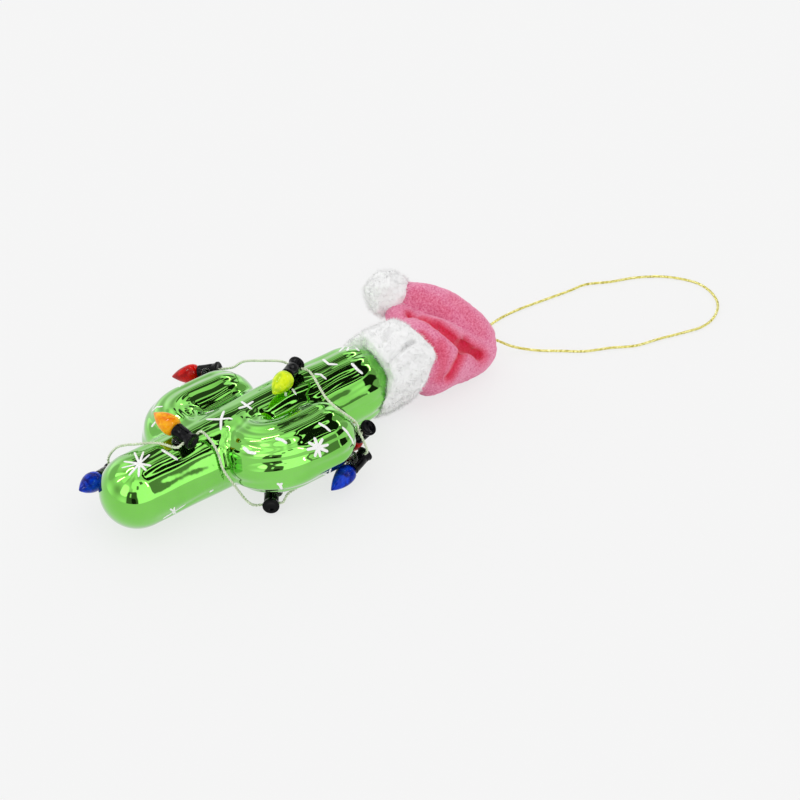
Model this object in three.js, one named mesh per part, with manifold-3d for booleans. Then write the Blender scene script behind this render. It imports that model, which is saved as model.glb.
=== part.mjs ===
// A blown-glass cactus ornament in a felt hat, lying on its back, with a string of seven small bulbs.
// Millimetres. +X runs from the foot to the hat, +Y to the far arm, +Z up.
import * as THREE from 'three';
import { mergeVertices } from 'three/addons/utils/BufferGeometryUtils.js';
import Module from 'manifold-3d';

const wasm = await Module();
wasm.setup();

// Fits
const clearance = 0.3;          // between two pieces that touch
const restGap = 0.1;            // under the far arm's bend

// Glass trunk, over the rib crests; x = 0 is the centre of the round foot
const footRadius = 13;
const headRadius = 14.5;
const swellStart = 10;
const swellEnd = 75;
const headStart = 86;
const headLength = 17;
const neckRadius = 4.6;
const neckLength = 7.5;
const glassWall = 0.9;
const ribDepth = 0.4;
const trunkRibs = 14;
const ribFadeStart = -4;
const ribFadeEnd = 9;
const pointsPerRib = 4;

// Glass arms: each leaves the trunk sideways, bends and runs along it to a round tip
const armSwell = 16;
const armBend = 9;
const armRibs = 12;
const farArmRadius = 13.2;
const farArmRootRadius = 10.6;
const farArmStart = 25.3;
const farArmReach = 20.7;
const farArmTip = 46.6;
const farArmLift = THREE.MathUtils.degToRad(4);
const nearArmRadius = 12.4;
const nearArmRootRadius = 10.8;
const nearArmStart = 39.8;
const nearArmReach = 21.3;
const nearArmTip = 60;
const nearArmLift = THREE.MathUtils.degToRad(4.5);

// Metal cap and spring loop in the neck
const capWall = 0.4;
const capFlare = 0.6;
const loopWireRadius = 0.4;
const loopHalfWidth = 2.2;
const loopRise = 8.2;

// Hat
const brimRadius = 15.6;
const brimSag = 0.45;
const brimStart = 94.5;
const brimEnd = 117.5;
const feltThickness = 1;
const feltRadius = 13.4;
const tipRadius = 6.3;
const pompomRadius = 8;

// Hanging cord
const cordRadius = 0.55;
const knotRadius = 1.75;
const knotLength = 4;
const knotStart = 122.4;

// Light string
const wireRadius = 0.42;
const socketRadius = 2.55;
const socketRimRadius = 2.9;
const socketRimLength = 0.9;
const socketLength = 8;
const socketBore = 1.75;
const stemLength = 4.2;
const bulbRadius = 3.45;
const bulbLength = 11;
const wireFromRear = 1.8;
const gluePad = 2.6;

// Pose on the floor: the head is raised by the brim, and the near side by the bulbs beneath it
const pitch = THREE.MathUtils.degToRad(1.1);
const roll = THREE.MathUtils.degToRad(8.74);

const colours = {
  glass: [0x3fae1f, 0.12, 0.9],
  steel: [0xc9c9c4, 0.3, 1],
  felt: [0xe06a96, 0.95, 0],
  fleece: [0xf6f6f6, 1, 0],
  gold: [0xc9b35c, 0.4, 0.8],
  wire: [0xb9dca0, 0.5, 0],
  socket: [0x0b0b0d, 0.35, 0],
  glue: [0xdfe8dc, 0.2, 0],
  red: [0xb80d12, 0.15, 0],
  orange: [0xf08a10, 0.15, 0],
  yellow: [0xbfe010, 0.15, 0],
  green: [0x1d8a2a, 0.15, 0],
  blue: [0x1030c0, 0.15, 0],
};

const up = new THREE.Vector3(0, 0, 1);
const v = (x, y, z) => new THREE.Vector3(x, y, z);
const fade = (x, from, to) => THREE.MathUtils.smoothstep(x, from, to);

// Solids

function mesh(name, geometry, colour) {
  const [color, roughness, metalness] = colours[colour];
  const piece = new THREE.Mesh(geometry, new THREE.MeshStandardMaterial({ color, roughness, metalness }));
  piece.name = name;
  return piece;
}

function toSolid(geometry) {
  const bare = geometry.clone();
  bare.deleteAttribute('normal');
  bare.deleteAttribute('uv');
  const merged = mergeVertices(bare, 1e-4);
  const count = merged.attributes.position.count;
  const triVerts = merged.index ? new Uint32Array(merged.index.array) : Uint32Array.from({ length: count }, (_, i) => i);
  return new wasm.Manifold(new wasm.Mesh({
    numProp: 3, vertProperties: new Float32Array(merged.attributes.position.array), triVerts,
  }));
}

function toGeometry(solid) {
  const { vertProperties, triVerts, numProp } = solid.getMesh();
  const positions = new Float32Array((vertProperties.length / numProp) * 3);
  for (let i = 0; i < positions.length / 3; i += 1) {
    for (let k = 0; k < 3; k += 1) positions[3 * i + k] = vertProperties[numProp * i + k];
  }
  const geometry = new THREE.BufferGeometry();
  geometry.setAttribute('position', new THREE.BufferAttribute(positions, 3));
  geometry.setIndex(new THREE.BufferAttribute(new Uint32Array(triVerts), 1));
  return geometry;
}

// A closed skin over rings of points, all wound the same way about the direction of travel
function skin(rings) {
  const n = rings[0].length;
  const points = rings.flat();
  const indices = [];
  for (let j = 0; j < rings.length - 1; j += 1) {
    for (let i = 0; i < n; i += 1) {
      const a = j * n + i;
      const b = j * n + ((i + 1) % n);
      indices.push(a, b, b + n, a, b + n, a + n);
    }
  }
  const centre = (ring) => ring.reduce((sum, p) => sum.add(p), v(0, 0, 0)).divideScalar(n);
  const last = (rings.length - 1) * n;
  points.push(centre(rings[0]), centre(rings[rings.length - 1]));
  for (let i = 0; i < n; i += 1) {
    const next = (i + 1) % n;
    indices.push(points.length - 2, next, i);
    indices.push(points.length - 1, last + i, last + next);
  }
  const geometry = new THREE.BufferGeometry().setFromPoints(points);
  geometry.setIndex(indices);
  return geometry;
}

// Points round a centre, in the plane square to the tangent; the angle starts at the bottom
function ring(centre, tangent, count, radiusAt) {
  const side = up.clone().cross(tangent).normalize();
  const high = tangent.clone().cross(side).normalize();
  return Array.from({ length: count }, (_, i) => {
    const angle = (2 * Math.PI * i) / count - Math.PI / 2;
    const r = radiusAt(angle);
    return centre.clone().addScaledVector(side, r * Math.cos(angle)).addScaledVector(high, r * Math.sin(angle));
  });
}

// A lobed section: each rib is a crest between two creases, with one crest at the bottom
function ribbed(radius, ribs, depth) {
  return (angle) => {
    const turn = (ribs * (angle + Math.PI / 2)) / (2 * Math.PI) + 0.5;
    const across = 2 * (turn - Math.floor(turn)) - 1;
    return radius - depth * across * across;
  };
}

function turned(profile, segments) {
  return new THREE.LatheGeometry(profile.map(([r, along]) => new THREE.Vector2(r, along)), segments);
}

// A round solid made along +Y, laid with its foot at a point and its axis along a direction
function laid(geometry, foot, direction) {
  const turn = new THREE.Quaternion().setFromUnitVectors(v(0, 1, 0), direction.clone().normalize());
  return geometry.applyQuaternion(turn).translate(foot.x, foot.y, foot.z);
}

function rod(from, to, radius, sides) {
  const length = from.distanceTo(to);
  const bar = new THREE.CylinderGeometry(radius, radius, length, sides).translate(0, length / 2, 0);
  return laid(bar, from, to.clone().sub(from));
}

function tube(points, radius, steps) {
  const sides = 8;
  const section = new THREE.Shape(Array.from({ length: sides }, (_, i) => {
    const angle = (2 * Math.PI * i) / sides;
    return new THREE.Vector2(radius * Math.cos(angle), radius * Math.sin(angle));
  }));
  const path = new THREE.CatmullRomCurve3(points, false, 'centripetal');
  path.arcLengthDivisions = 40 * points.length;
  return new THREE.ExtrudeGeometry(section, { steps, bevelEnabled: false, extrudePath: path, curveSegments: 1 });
}

// Glass

const trunkRadiusAt = (x) => footRadius + (headRadius - footRadius) * fade(x, swellStart, swellEnd);
const neckAngle = Math.acos(neckRadius / headRadius);
const neckStart = headStart + headLength * Math.sin(neckAngle);
const neckEnd = neckStart + neckLength;

// Stations along the trunk: [x, radius, rib depth]; inset moves the skin inwards
function trunkStations(inset, depth) {
  const stations = [];
  const foot = footRadius - inset;
  const head = headRadius - inset;
  for (const degrees of [16, 34, 52, 71]) {
    const angle = THREE.MathUtils.degToRad(degrees);
    stations.push([-foot * Math.cos(angle), foot * Math.sin(angle)]);
  }
  for (const x of [0, swellStart, 34, 53, swellEnd, headStart]) stations.push([x, trunkRadiusAt(x) - inset]);
  const domeEnd = Math.acos((neckRadius - glassWall * (inset > 0)) / head);
  for (let i = 1; i <= 5; i += 1) {
    const angle = (i * domeEnd) / 5;
    stations.push([headStart + (headLength - inset) * Math.sin(angle), head * Math.cos(angle)]);
  }
  const overrun = inset > 0 ? 2 : 0;
  stations.push([neckEnd + overrun, stations[stations.length - 1][1]]);
  const full = (x) => fade(x, ribFadeStart, ribFadeEnd) * (1 - fade(x, headStart + 5, neckStart - 2));
  return stations.map(([x, r]) => [x, r, depth * full(x)]);
}

function trunkSkin(inset, depth, count) {
  return skin(trunkStations(inset, depth).map(([x, r, d]) => (
    ring(v(x, 0, 0), v(1, 0, 0), count, ribbed(r, trunkRibs, d)))));
}

// An arm's centreline, before it is leaned about the trunk: side is +1 for the far arm and -1 for the near one
function arm(start, reach, tip, rootRadius, endRadius, lift, side) {
  const outward = reach - armBend;
  const quarter = (armBend * Math.PI) / 2;
  const along = tip - start - armBend;
  const length = outward + quarter + along;
  const at = (s) => {
    if (s < outward) return { point: v(start, side * s, 0), tangent: v(0, side, 0) };
    if (s < outward + quarter) {
      const angle = (s - outward) / armBend;
      return {
        point: v(start + armBend * (1 - Math.cos(angle)), side * (outward + armBend * Math.sin(angle)), 0),
        tangent: v(Math.sin(angle), side * Math.cos(angle), 0),
      };
    }
    return { point: v(start + armBend + s - outward - quarter, side * reach, 0), tangent: v(1, 0, 0) };
  };
  const radius = (s) => {
    const past = s - length;
    if (past > 0) return Math.sqrt(Math.max(0, endRadius * endRadius - past * past));
    return rootRadius + (endRadius - rootRadius) * fade(s, 0, armSwell);
  };
  return { at, radius, length, outward, quarter, endRadius, side, turn: side * lift };
}

const farArm = arm(farArmStart, farArmReach, farArmTip, farArmRootRadius, farArmRadius, farArmLift, 1);
const nearArm = arm(nearArmStart, nearArmReach, nearArmTip, nearArmRootRadius, nearArmRadius, nearArmLift, -1);
const trunk = {
  turn: 0,
  at: (s) => ({ point: v(s, 0, 0), tangent: v(1, 0, 0) }),
  radius: (s) => (s < 0 ? Math.sqrt(Math.max(0, footRadius * footRadius - s * s)) : trunkRadiusAt(s)),
};

// Each arm stands a little above the plane of the trunk
const leaned = (limb, p) => p.applyAxisAngle(v(1, 0, 0), limb.turn);

function armSkin(limb, inset, depth, count) {
  const bendSteps = 5;
  const stations = [[0, 1], [limb.outward, 1]];
  for (let i = 1; i <= bendSteps; i += 1) stations.push([limb.outward + (i * limb.quarter) / bendSteps, 1]);
  stations.push([limb.length, 1]);
  const rings = stations.map(([s]) => {
    const { point, tangent } = limb.at(s);
    const section = ribbed(limb.radius(s) - inset, armRibs, depth);
    // Inside, the hollow stays on its own side of the bend's centre
    const bending = inset > 0 && s >= limb.outward && s <= limb.outward + limb.quarter + 0.01;
    return ring(point, tangent, count, (angle) => {
      const towards = -limb.side * Math.cos(angle);
      return bending && towards > 0 ? Math.min(section(angle), (armBend - 1.2) / towards) : section(angle);
    });
  });
  const tip = limb.endRadius - inset;
  for (let i = 1; i <= 4; i += 1) {
    const angle = (i * Math.PI) / 9.6;
    const { point, tangent } = limb.at(limb.length + tip * Math.sin(angle));
    const groove = depth * (1 - fade(i, 1.6, 5));
    rings.push(ring(point, tangent, count, ribbed(tip * Math.cos(angle), armRibs, groove)));
  }
  for (const p of rings.flat()) leaned(limb, p);
  return skin(rings);
}

function glassBody(inset, depth, trunkPoints, armPoints) {
  return toSolid(trunkSkin(inset, depth, trunkPoints))
    .add(toSolid(armSkin(farArm, inset, depth, armPoints)))
    .add(toSolid(armSkin(nearArm, inset, depth, armPoints)));
}

const glassOuter = glassBody(0, ribDepth, trunkRibs * pointsPerRib, armRibs * pointsPerRib);
const glassGuard = glassBody(-clearance - 0.1, 0, 28, 24);
const glass = glassOuter.subtract(glassBody(glassWall + ribDepth, 0, 20, 16));

// Cap and spring loop, in the neck

const capBore = neckRadius + clearance + 0.08;
const capTop = neckEnd + clearance + capWall;
const legOffset = 1.6;
const springOffset = neckRadius - glassWall - loopWireRadius - clearance;
const loopTop = capTop + loopRise;

function cap() {
  const skirt = capBore + capWall;
  const start = neckStart + clearance + 0.3;
  const profile = turned([
    [0, capTop - capWall], [capBore, capTop - capWall], [capBore, start + 1], [capBore + capFlare, start],
    [skirt + capFlare, start], [skirt, start + 1.4], [skirt, capTop - 0.3], [skirt - 0.3, capTop], [0, capTop],
  ], 18);
  let solid = toSolid(laid(profile, v(0, 0, 0), v(1, 0, 0)));
  for (const z of [-legOffset, legOffset]) {
    const hole = rod(v(capTop - 2, 0, z), v(capTop + 2, 0, z), loopWireRadius + clearance + 0.06, 8);
    solid = solid.subtract(toSolid(hole));
  }
  return toGeometry(solid);
}

function springLoop() {
  const half = [
    [neckStart + 1, springOffset], [neckStart + 4, springOffset - 0.4], [capTop - 2, legOffset],
    [capTop - 0.9, legOffset], [capTop + 0.7, legOffset], [capTop + 3, loopHalfWidth],
    [loopTop - 2.2, loopHalfWidth - 0.1],
  ];
  const legs = half.map(([x, z]) => v(x, 0, -z));
  const back = half.slice().reverse().map(([x, z]) => v(x, 0, z));
  return tube([...legs, v(loopTop - 0.6, 0, -1.3), v(loopTop, 0, 0), v(loopTop - 0.6, 0, 1.3), ...back],
    loopWireRadius, 26);
}

// Light string

// A place on the glass: so far along a limb, at an angle round it, so far off its surface
function onGlass(limb, s, degrees, gap) {
  const { point, tangent } = limb.at(s);
  const side = up.clone().cross(tangent);
  const angle = THREE.MathUtils.degToRad(degrees);
  const normal = side.multiplyScalar(Math.cos(angle)).addScaledVector(up, Math.sin(angle));
  const place = point.clone().addScaledVector(normal, limb.radius(s) + gap);
  return { point: leaned(limb, place), normal: leaned(limb, normal) };
}

// A place over an arm's round tip: so far from its pole, at an angle round it, so far off its surface
function onTip(limb, polar, degrees, gap) {
  const { point, tangent } = limb.at(limb.length);
  const { normal: outward } = onGlass(limb, limb.length, degrees, 0);
  const angle = THREE.MathUtils.degToRad(polar);
  const normal = tangent.clone().multiplyScalar(Math.cos(angle)).addScaledVector(outward, Math.sin(angle));
  return { point: leaned(limb, point.clone()).addScaledVector(normal, limb.endRadius + gap), normal };
}

const heading = (azimuth, elevation) => {
  const a = THREE.MathUtils.degToRad(azimuth);
  const e = THREE.MathUtils.degToRad(elevation);
  return v(Math.cos(a) * Math.cos(e), Math.sin(a) * Math.cos(e), Math.sin(e));
};

// Each light: where its socket's middle sits, where its bulb points, and how the wire runs in.
// The one under the near arm has a bulb that is a little smaller, so that it clears the glass and the floor.
const near = (s) => nearArm.length + s;
const lights = [
  { name: 'left', colour: 'blue', on: [trunk, -3.1, -1, 4.4], aim: [-152, 13], wire: [0.25, 0.1, 0.95], run: 'end', glue: [1, 1] },
  { name: 'foot', colour: 'orange', on: [trunk, 18.1, 110, 3.4], aim: [100, 15], wire: [1, 0.16, 0.05], run: 'through', glue: [1, 1] },
  { name: 'elbow', colour: 'green', on: [nearArm, 17, -100.9, 3.64], aim: [54, 0], wire: [0.85, -0.52, 0], run: 'through', glue: [1, 1], small: 0.86 },
  { name: 'right', colour: 'blue', over: [nearArm, 52, -111.1, 4.6], aim: [-168, -14], wire: [-0.1, -0.71, 0.7], run: 'through', glue: [-1, 1.2] },
  { name: 'tip', colour: 'red', over: [nearArm, 17.8, -116, 4.3], aim: [109, -45], wire: [0.95, 0.16, -0.17], run: 'pair', glue: [1, 0.6] },
  { name: 'top', colour: 'yellow', on: [trunk, 65.1, 93.6, 3.6], aim: [-150, -2], wire: [-0.48, 0.84, 0.25], run: 'through', glue: [-1, 1] },
  { name: 'far', colour: 'red', over: [farArm, 70.1, 16.1, 4.6], aim: [130, -11], wire: [-0.63, 0.75, -0.18], run: 'rear', glue: [1, 1] },
].map((light) => {
  const { point, normal } = light.on ? onGlass(...light.on) : onTip(...light.over);
  const aim = heading(...light.aim);
  const rear = point.clone().addScaledVector(aim, -socketLength / 2);
  const crossing = rear.clone().addScaledVector(aim, wireFromRear);
  const wire = v(...light.wire);
  if (light.run !== 'rear') wire.addScaledVector(aim, -wire.dot(aim));
  const lateral = normal.clone().cross(aim).normalize();
  return { ...light, centre: point, normal, aim, rear, crossing, wire: wire.normalize(), lateral };
});
const lightNamed = (name) => lights.find((light) => light.name === name);

// Two wires end side by side in a paired socket
const pairOffset = wireRadius + clearance / 2 + 0.05;

function socket(light) {
  const front = socketLength;
  const bottom = front - stemLength - clearance;
  const shell = turned([
    [0, 0], [socketRimRadius, 0.15], [socketRimRadius, socketRimLength],
    [socketRadius - 0.1, socketRimLength + 0.3], [socketRadius, front], [socketBore, front], [socketBore, bottom],
    [0, bottom],
  ], 12);
  let solid = toSolid(laid(shell, light.rear, light.aim));
  const reach = socketRimRadius + 1;
  const hole = wireRadius + clearance + 0.1;
  const { crossing, wire, aim } = light;
  const cut = (from, to) => { solid = solid.subtract(toSolid(rod(from, to, hole, 8))); };
  if (light.run === 'through') {
    cut(crossing.clone().addScaledVector(wire, -reach), crossing.clone().addScaledVector(wire, reach));
  } else if (light.run === 'end') {
    cut(crossing.clone().addScaledVector(wire, -hole), crossing.clone().addScaledVector(wire, reach));
  } else if (light.run === 'rear') {
    cut(crossing.clone().addScaledVector(aim, 0.4), light.rear.clone().addScaledVector(aim, -1));
  } else {
    const across = wire.clone().cross(aim).normalize();
    for (const offset of [-pairOffset, pairOffset]) {
      const end = crossing.clone().addScaledVector(across, offset);
      cut(end.clone().addScaledVector(wire, hole), end.clone().addScaledVector(wire, -reach));
    }
  }
  return toGeometry(solid);
}

// A flame-shaped bulb with its stem in the socket
function bulb(light) {
  const neck = socketBore - clearance - 0.08;
  const scale = light.small || 1;
  const foot = light.rear.clone().addScaledVector(light.aim, socketLength - stemLength);
  const base = stemLength + clearance;
  const shape = [[0.03, 0.66], [0.14, 0.95], [0.28, 1], [0.45, 0.93], [0.63, 0.73], [0.81, 0.46], [0.94, 0.22]];
  const profile = [[0, 0], [neck, 0], [neck, base]];
  for (const [along, width] of shape) profile.push([scale * bulbRadius * width, base + scale * bulbLength * along]);
  profile.push([0, base + scale * bulbLength]);
  return laid(turned(profile, 10), foot, light.aim);
}

// A dab of glue beside the socket, cut back by the glass and by the socket
function glueDab(light) {
  const { centre, normal, lateral, aim } = light;
  const gap = (light.on || light.over)[3];
  const [side, forward] = light.glue;
  const middle = centre.clone().addScaledVector(normal, -gap * 0.72).addScaledVector(lateral, side * gluePad * 0.8)
    .addScaledVector(aim, forward);
  const basis = new THREE.Matrix4().makeBasis(lateral, aim, lateral.clone().cross(aim)).setPosition(middle);
  const pad = new THREE.SphereGeometry(1, 8, 6).scale(gluePad, 2.8, 1.2 + gap * 0.35).applyMatrix4(basis);
  const shaft = rod(light.rear.clone().addScaledVector(aim, -2), centre.clone().addScaledVector(aim, 8),
    socketRimRadius + clearance + 0.06, 12);
  const front = light.rear.clone().addScaledVector(aim, socketLength);
  const round = rod(front, front.clone().addScaledVector(aim, 8), bulbRadius + clearance + 0.06, 12);
  const run = rod(light.crossing.clone().addScaledVector(light.wire, -8),
    light.crossing.clone().addScaledVector(light.wire, 8), light.run === 'pair' ? 1.45 : 0.8, 8);
  const pieces = toSolid(pad).subtract(glassGuard).subtract(toSolid(shaft)).subtract(toSolid(round))
    .subtract(toSolid(run)).decompose();
  pieces.sort((a, b) => b.volume() - a.volume());
  return toGeometry(pieces[0]);
}

// The wire through a socket, straight for a stretch on both sides
function throughSocket(name, after = 5.2) {
  const { crossing, wire } = lightNamed(name);
  return [-5.2, -3, 3, after].map((d) => crossing.clone().addScaledVector(wire, d));
}

function pairEnd(sign) {
  const { crossing, wire, aim } = lightNamed('tip');
  const across = wire.clone().cross(aim).normalize();
  const end = crossing.clone().addScaledVector(across, sign * pairOffset);
  return [0, -2, -3.3, -3.9].map((d) => end.clone().addScaledVector(wire, d));
}

const at = (limb, s, degrees, gap) => onGlass(limb, s, degrees, gap).point;

const overTip = (limb, polar, degrees, gap) => onTip(limb, polar, degrees, gap).point;

function lowerWire() {
  const left = lightNamed('left');
  const start = [0, 3, 5].map((d) => left.crossing.clone().addScaledVector(left.wire, d));
  return [
    ...start, at(trunk, 1.2, 38, 3.6), at(trunk, 2.8, 56, 2.4), at(trunk, 5.2, 70, 1.5), at(trunk, 8.4, 82, 1),
    at(trunk, 11, 95, 1),
    ...throughSocket('foot'), at(trunk, 25.5, 130.8, 1.5), at(nearArm, 12.5, 155.8, 3.3),
    at(nearArm, 13.1, 174.1, 2.4), at(nearArm, 13.6, 199.1, 1.4), at(nearArm, 13.7, 223.2, 2.5),
    at(nearArm, 15.2, 228, 4.2),
    ...throughSocket('elbow', 3.9), at(nearArm, 21.6, -103, 1.7),
    at(nearArm, 24.5, -96, 1),
    at(nearArm, 29, -92, 1), at(nearArm, 35.6, -88, 1.1), overTip(nearArm, 70, -86, 1.9),
    ...throughSocket('right'), overTip(nearArm, 40, -160, 2.4), overTip(nearArm, 34, -171.5, 1.3),
    overTip(nearArm, 27, -164, 1.1),
    ...pairEnd(-1).reverse(),
  ];
}

function upperWire() {
  const far = lightNamed('far');
  const end = [-5, -2, 1.2].map((d) => far.rear.clone().addScaledVector(far.aim, d));
  return [
    ...pairEnd(1), overTip(nearArm, 31, 168, 1), overTip(nearArm, 37.5, 152, 0.95),
    overTip(nearArm, 59.4, 128.4, 0.95), overTip(nearArm, 69.4, 113.9, 1.5), overTip(nearArm, 71, 94.9, 2.2),
    ...throughSocket('top'), v(62.2, 11.5, 17.6), v(59.4, 22, 14.2),
    ...end,
  ];
}

// Hat, hanging loop and knot, in floor coordinates

const ornament = new THREE.Group();
ornament.rotation.set(roll * -1, -pitch, 0, 'YXZ');
ornament.updateMatrixWorld();
const elbow = leaned(farArm, farArm.at(farArm.outward + farArm.quarter).point).applyMatrix4(ornament.matrixWorld);
ornament.position.z = farArmRadius - elbow.z + restGap;
ornament.updateMatrixWorld();
const toFloor = (x, y, z) => v(x, y, z).applyMatrix4(ornament.matrixWorld);
const axisHeight = (x) => toFloor(x, 0, 0).z;

// A soft body of round sections: stations of [x, y, z, radius]
function softBody(stations, inset, count) {
  const kept = stations.filter(([, , , r]) => inset === 0 || r > inset + 4);
  const curve = kept.map(([x, y, z]) => v(x, y, z));
  return skin(kept.map(([x, y, z, r], i) => {
    const tangent = curve[Math.min(i + 1, curve.length - 1)].clone().sub(curve[Math.max(i - 1, 0)]).normalize();
    return ring(v(x, y, z), tangent, count, () => r - inset);
  }));
}

// The cone stands on the head, slumps to the floor and ends in a blunt fold; the tip lies back over it
const brimSeat = brimStart + 1;
const brimLip = 2;
const coneSeat = brimSeat + brimLip + clearance;
const coneStations = [
  [coneSeat, 0, axisHeight(coneSeat), feltRadius],
  [brimEnd + 2, 0, axisHeight(brimEnd + 2), feltRadius],
  [124.8, -0.3, 14.8, 14.1],
  [131.1, -1.2, 13.6, 13.3],
  [136.1, -1.8, 12.7, 12.3],
  [140.1, -2, 11.9, 11.1],
  [144.1, -1.8, 11.1, 9.5],
  [147.6, -1.4, 10.5, 7.3],
  [150.1, -1, 10.1, 4.3],
  [151.1, -0.8, 9.9, 1.5],
];
const tipStations = [
  [144.1, -0.6, 8.8, tipRadius],
  [146.6, 3.4, 11, tipRadius + 0.2],
  [146.6, 7.4, 14, tipRadius + 0.1],
  [143.6, 11.9, 17, tipRadius],
  [138.6, 16.4, 20, tipRadius],
  [133.1, 20.4, 22, tipRadius - 0.1],
  [129.1, 23.4, 23.2, tipRadius - 0.3],
  [125.6, 26.2, 24.6, tipRadius - 0.8],
];
const pompomCentre = v(124.6, 26.9, 25.5);

// The cord leaves through the blunt end of the cone in two strands
const knotEnd = knotStart + knotLength;
const strandStarts = [1, -1].map((side) => toFloor(knotEnd + clearance, side * 0.85, 0));
const strandExits = [v(152.9, 3.4, 8.2), v(152.2, -0.8, 7.4)];

function strandPoints(i) {
  const start = strandStarts[i];
  const exit = strandExits[i];
  const inside = exit.clone().add(v(-5, i === 0 ? -0.8 : 0.2, 1));
  return [start, start.clone().add(v(3, 0, -0.2)), start.clone().lerp(inside, 0.6).add(v(0, 0, -0.6)), inside, exit];
}

function hatCone() {
  let cone = toSolid(softBody(coneStations, 0, 26)).add(toSolid(softBody(tipStations, 0, 16)));
  const ball = new THREE.SphereGeometry(pompomRadius + clearance, 16, 12);
  cone = cone.subtract(toSolid(ball.translate(pompomCentre.x, pompomCentre.y, pompomCentre.z)));
  const mouth = [coneSeat - 6, 0, axisHeight(coneSeat - 6), feltRadius];
  const hollow = toSolid(softBody([mouth, ...coneStations], feltThickness, 14))
    .add(toSolid(softBody(tipStations.slice(0, -2), feltThickness + 0.6, 10)));
  cone = cone.subtract(hollow);
  strandExits.forEach((exit, i) => {
    const inside = strandPoints(i)[3];
    const beyond = exit.clone().add(exit.clone().sub(inside).setLength(3));
    const deeper = inside.clone().addScaledVector(beyond.clone().sub(inside).normalize(), -2.5);
    cone = cone.subtract(toSolid(rod(deeper, beyond, cordRadius + clearance + 0.07, 8)));
  });
  return toGeometry(cone);
}

// The brim: a fat fleece band whose front edge seats on the glass, thicker underneath
function brim() {
  const seat = brimSeat;
  const seatRadius = headRadius * Math.cos(Math.asin((seat - headStart) / headLength)) + clearance + 0.1;
  const band = feltRadius + clearance + 0.1;
  const outline = [
    [seat, seatRadius], [brimStart, (seatRadius + brimRadius) / 2], [brimStart + 0.9, brimRadius - 0.7],
    [brimStart + 3, brimRadius], [brimEnd - 4, brimRadius], [brimEnd - 1, brimRadius - 0.5],
    [brimEnd, brimRadius - 1.5], [brimEnd - 0.4, band], [seat + brimLip, band],
  ];
  const count = 32;
  const points = [];
  for (let i = 0; i < count; i += 1) {
    const angle = (2 * Math.PI * i) / count;
    const sag = brimSag * Math.max(0, -Math.sin(angle));
    for (const [x, r] of outline) {
      const reach = r > band + 0.5 ? r + sag : r;
      points.push(v(x, reach * Math.cos(angle), reach * Math.sin(angle)));
    }
  }
  const n = outline.length;
  const indices = [];
  for (let i = 0; i < count; i += 1) {
    for (let j = 0; j < n; j += 1) {
      const a = i * n + j;
      const b = i * n + ((j + 1) % n);
      const c = ((i + 1) % count) * n + j;
      const d = ((i + 1) % count) * n + ((j + 1) % n);
      indices.push(a, c, b, b, c, d);
    }
  }
  const geometry = new THREE.BufferGeometry().setFromPoints(points);
  geometry.setIndex(indices);
  return geometry;
}

// The cord's eye, round the top of the spring loop, ending at the knot
function cordEye() {
  const bend = loopWireRadius + cordRadius + clearance + 0.1;
  const arc = [-90, -150, 180, 150, 90].map((degrees) => {
    const angle = THREE.MathUtils.degToRad(degrees);
    return v(loopTop + bend * Math.cos(angle), bend * Math.sin(angle), 0);
  });
  const stop = knotStart - clearance;
  return tube([v(stop, -0.85, 0), v(stop - 0.9, -0.9, 0), ...arc, v(stop - 0.9, 0.9, 0), v(stop, 0.85, 0)], cordRadius, 14);
}

function knot() {
  const profile = turned([
    [0, 0], [knotRadius - 0.25, 0], [knotRadius, 0.8], [knotRadius - 0.3, knotLength / 2], [knotRadius, knotLength - 0.8],
    [knotRadius - 0.25, knotLength], [0, knotLength],
  ], 12);
  return laid(profile, v(knotStart, 0, 0), v(1, 0, 0));
}

// The free part of the hanging loop: out of one hole, round on the floor and back into the other
function looseLoop(floor) {
  const [a, b] = strandExits;
  const leaveA = a.clone().sub(strandPoints(0)[3]).setLength(1);
  const leaveB = b.clone().sub(strandPoints(1)[3]).setLength(1);
  const height = floor + cordRadius + 0.08;
  const floorRoute = [
    [171.6, 14.4], [180.5, 14.4], [192.2, 13.1], [204.1, 11.7], [212.2, 11], [221.4, 6.3], [231.2, 2.4], [239.6, -3.1],
    [245.2, -9.6], [248.2, -15.9], [248.2, -22.3], [245.6, -28.9], [240.9, -33.6], [234.3, -36.8], [228.2, -37.5],
    [220.9, -36], [210.5, -33.1], [199.8, -30.6], [191.5, -25.8], [182.6, -21.6], [175.2, -15.7],
  ].map(([x, y]) => v(x, y, height));
  return [
    a.clone().addScaledVector(leaveA, clearance), a.clone().addScaledVector(leaveA, 2), v(158.6, 7.4, 5.2),
    v(163.6, 12.4, 1.5),
    ...floorRoute, v(167.4, -9.4, 1), v(160.8, -4.4, 2.8),
    b.clone().addScaledVector(leaveB, 2), b.clone().addScaledVector(leaveB, clearance),
  ];
}

// Assembly

const add = (parent, name, geometry, colour) => parent.add(mesh(name, geometry, colour));

add(ornament, 'glass_cactus', toGeometry(glass), 'glass');
add(ornament, 'ornament_cap', cap(), 'steel');
add(ornament, 'spring_loop', springLoop(), 'steel');
add(ornament, 'hat_brim', brim(), 'fleece');
add(ornament, 'cord_eye', cordEye(), 'gold');
add(ornament, 'cord_knot', knot(), 'gold');
for (const light of lights) {
  add(ornament, `socket_${light.name}`, socket(light), 'socket');
  add(ornament, `bulb_${light.name}`, bulb(light), light.colour);
  add(ornament, `glue_${light.name}`, glueDab(light), 'glue');
}
add(ornament, 'light_wire_lower', tube(lowerWire(), wireRadius, 80), 'wire');
add(ornament, 'light_wire_upper', tube(upperWire(), wireRadius, 40), 'wire');

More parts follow.
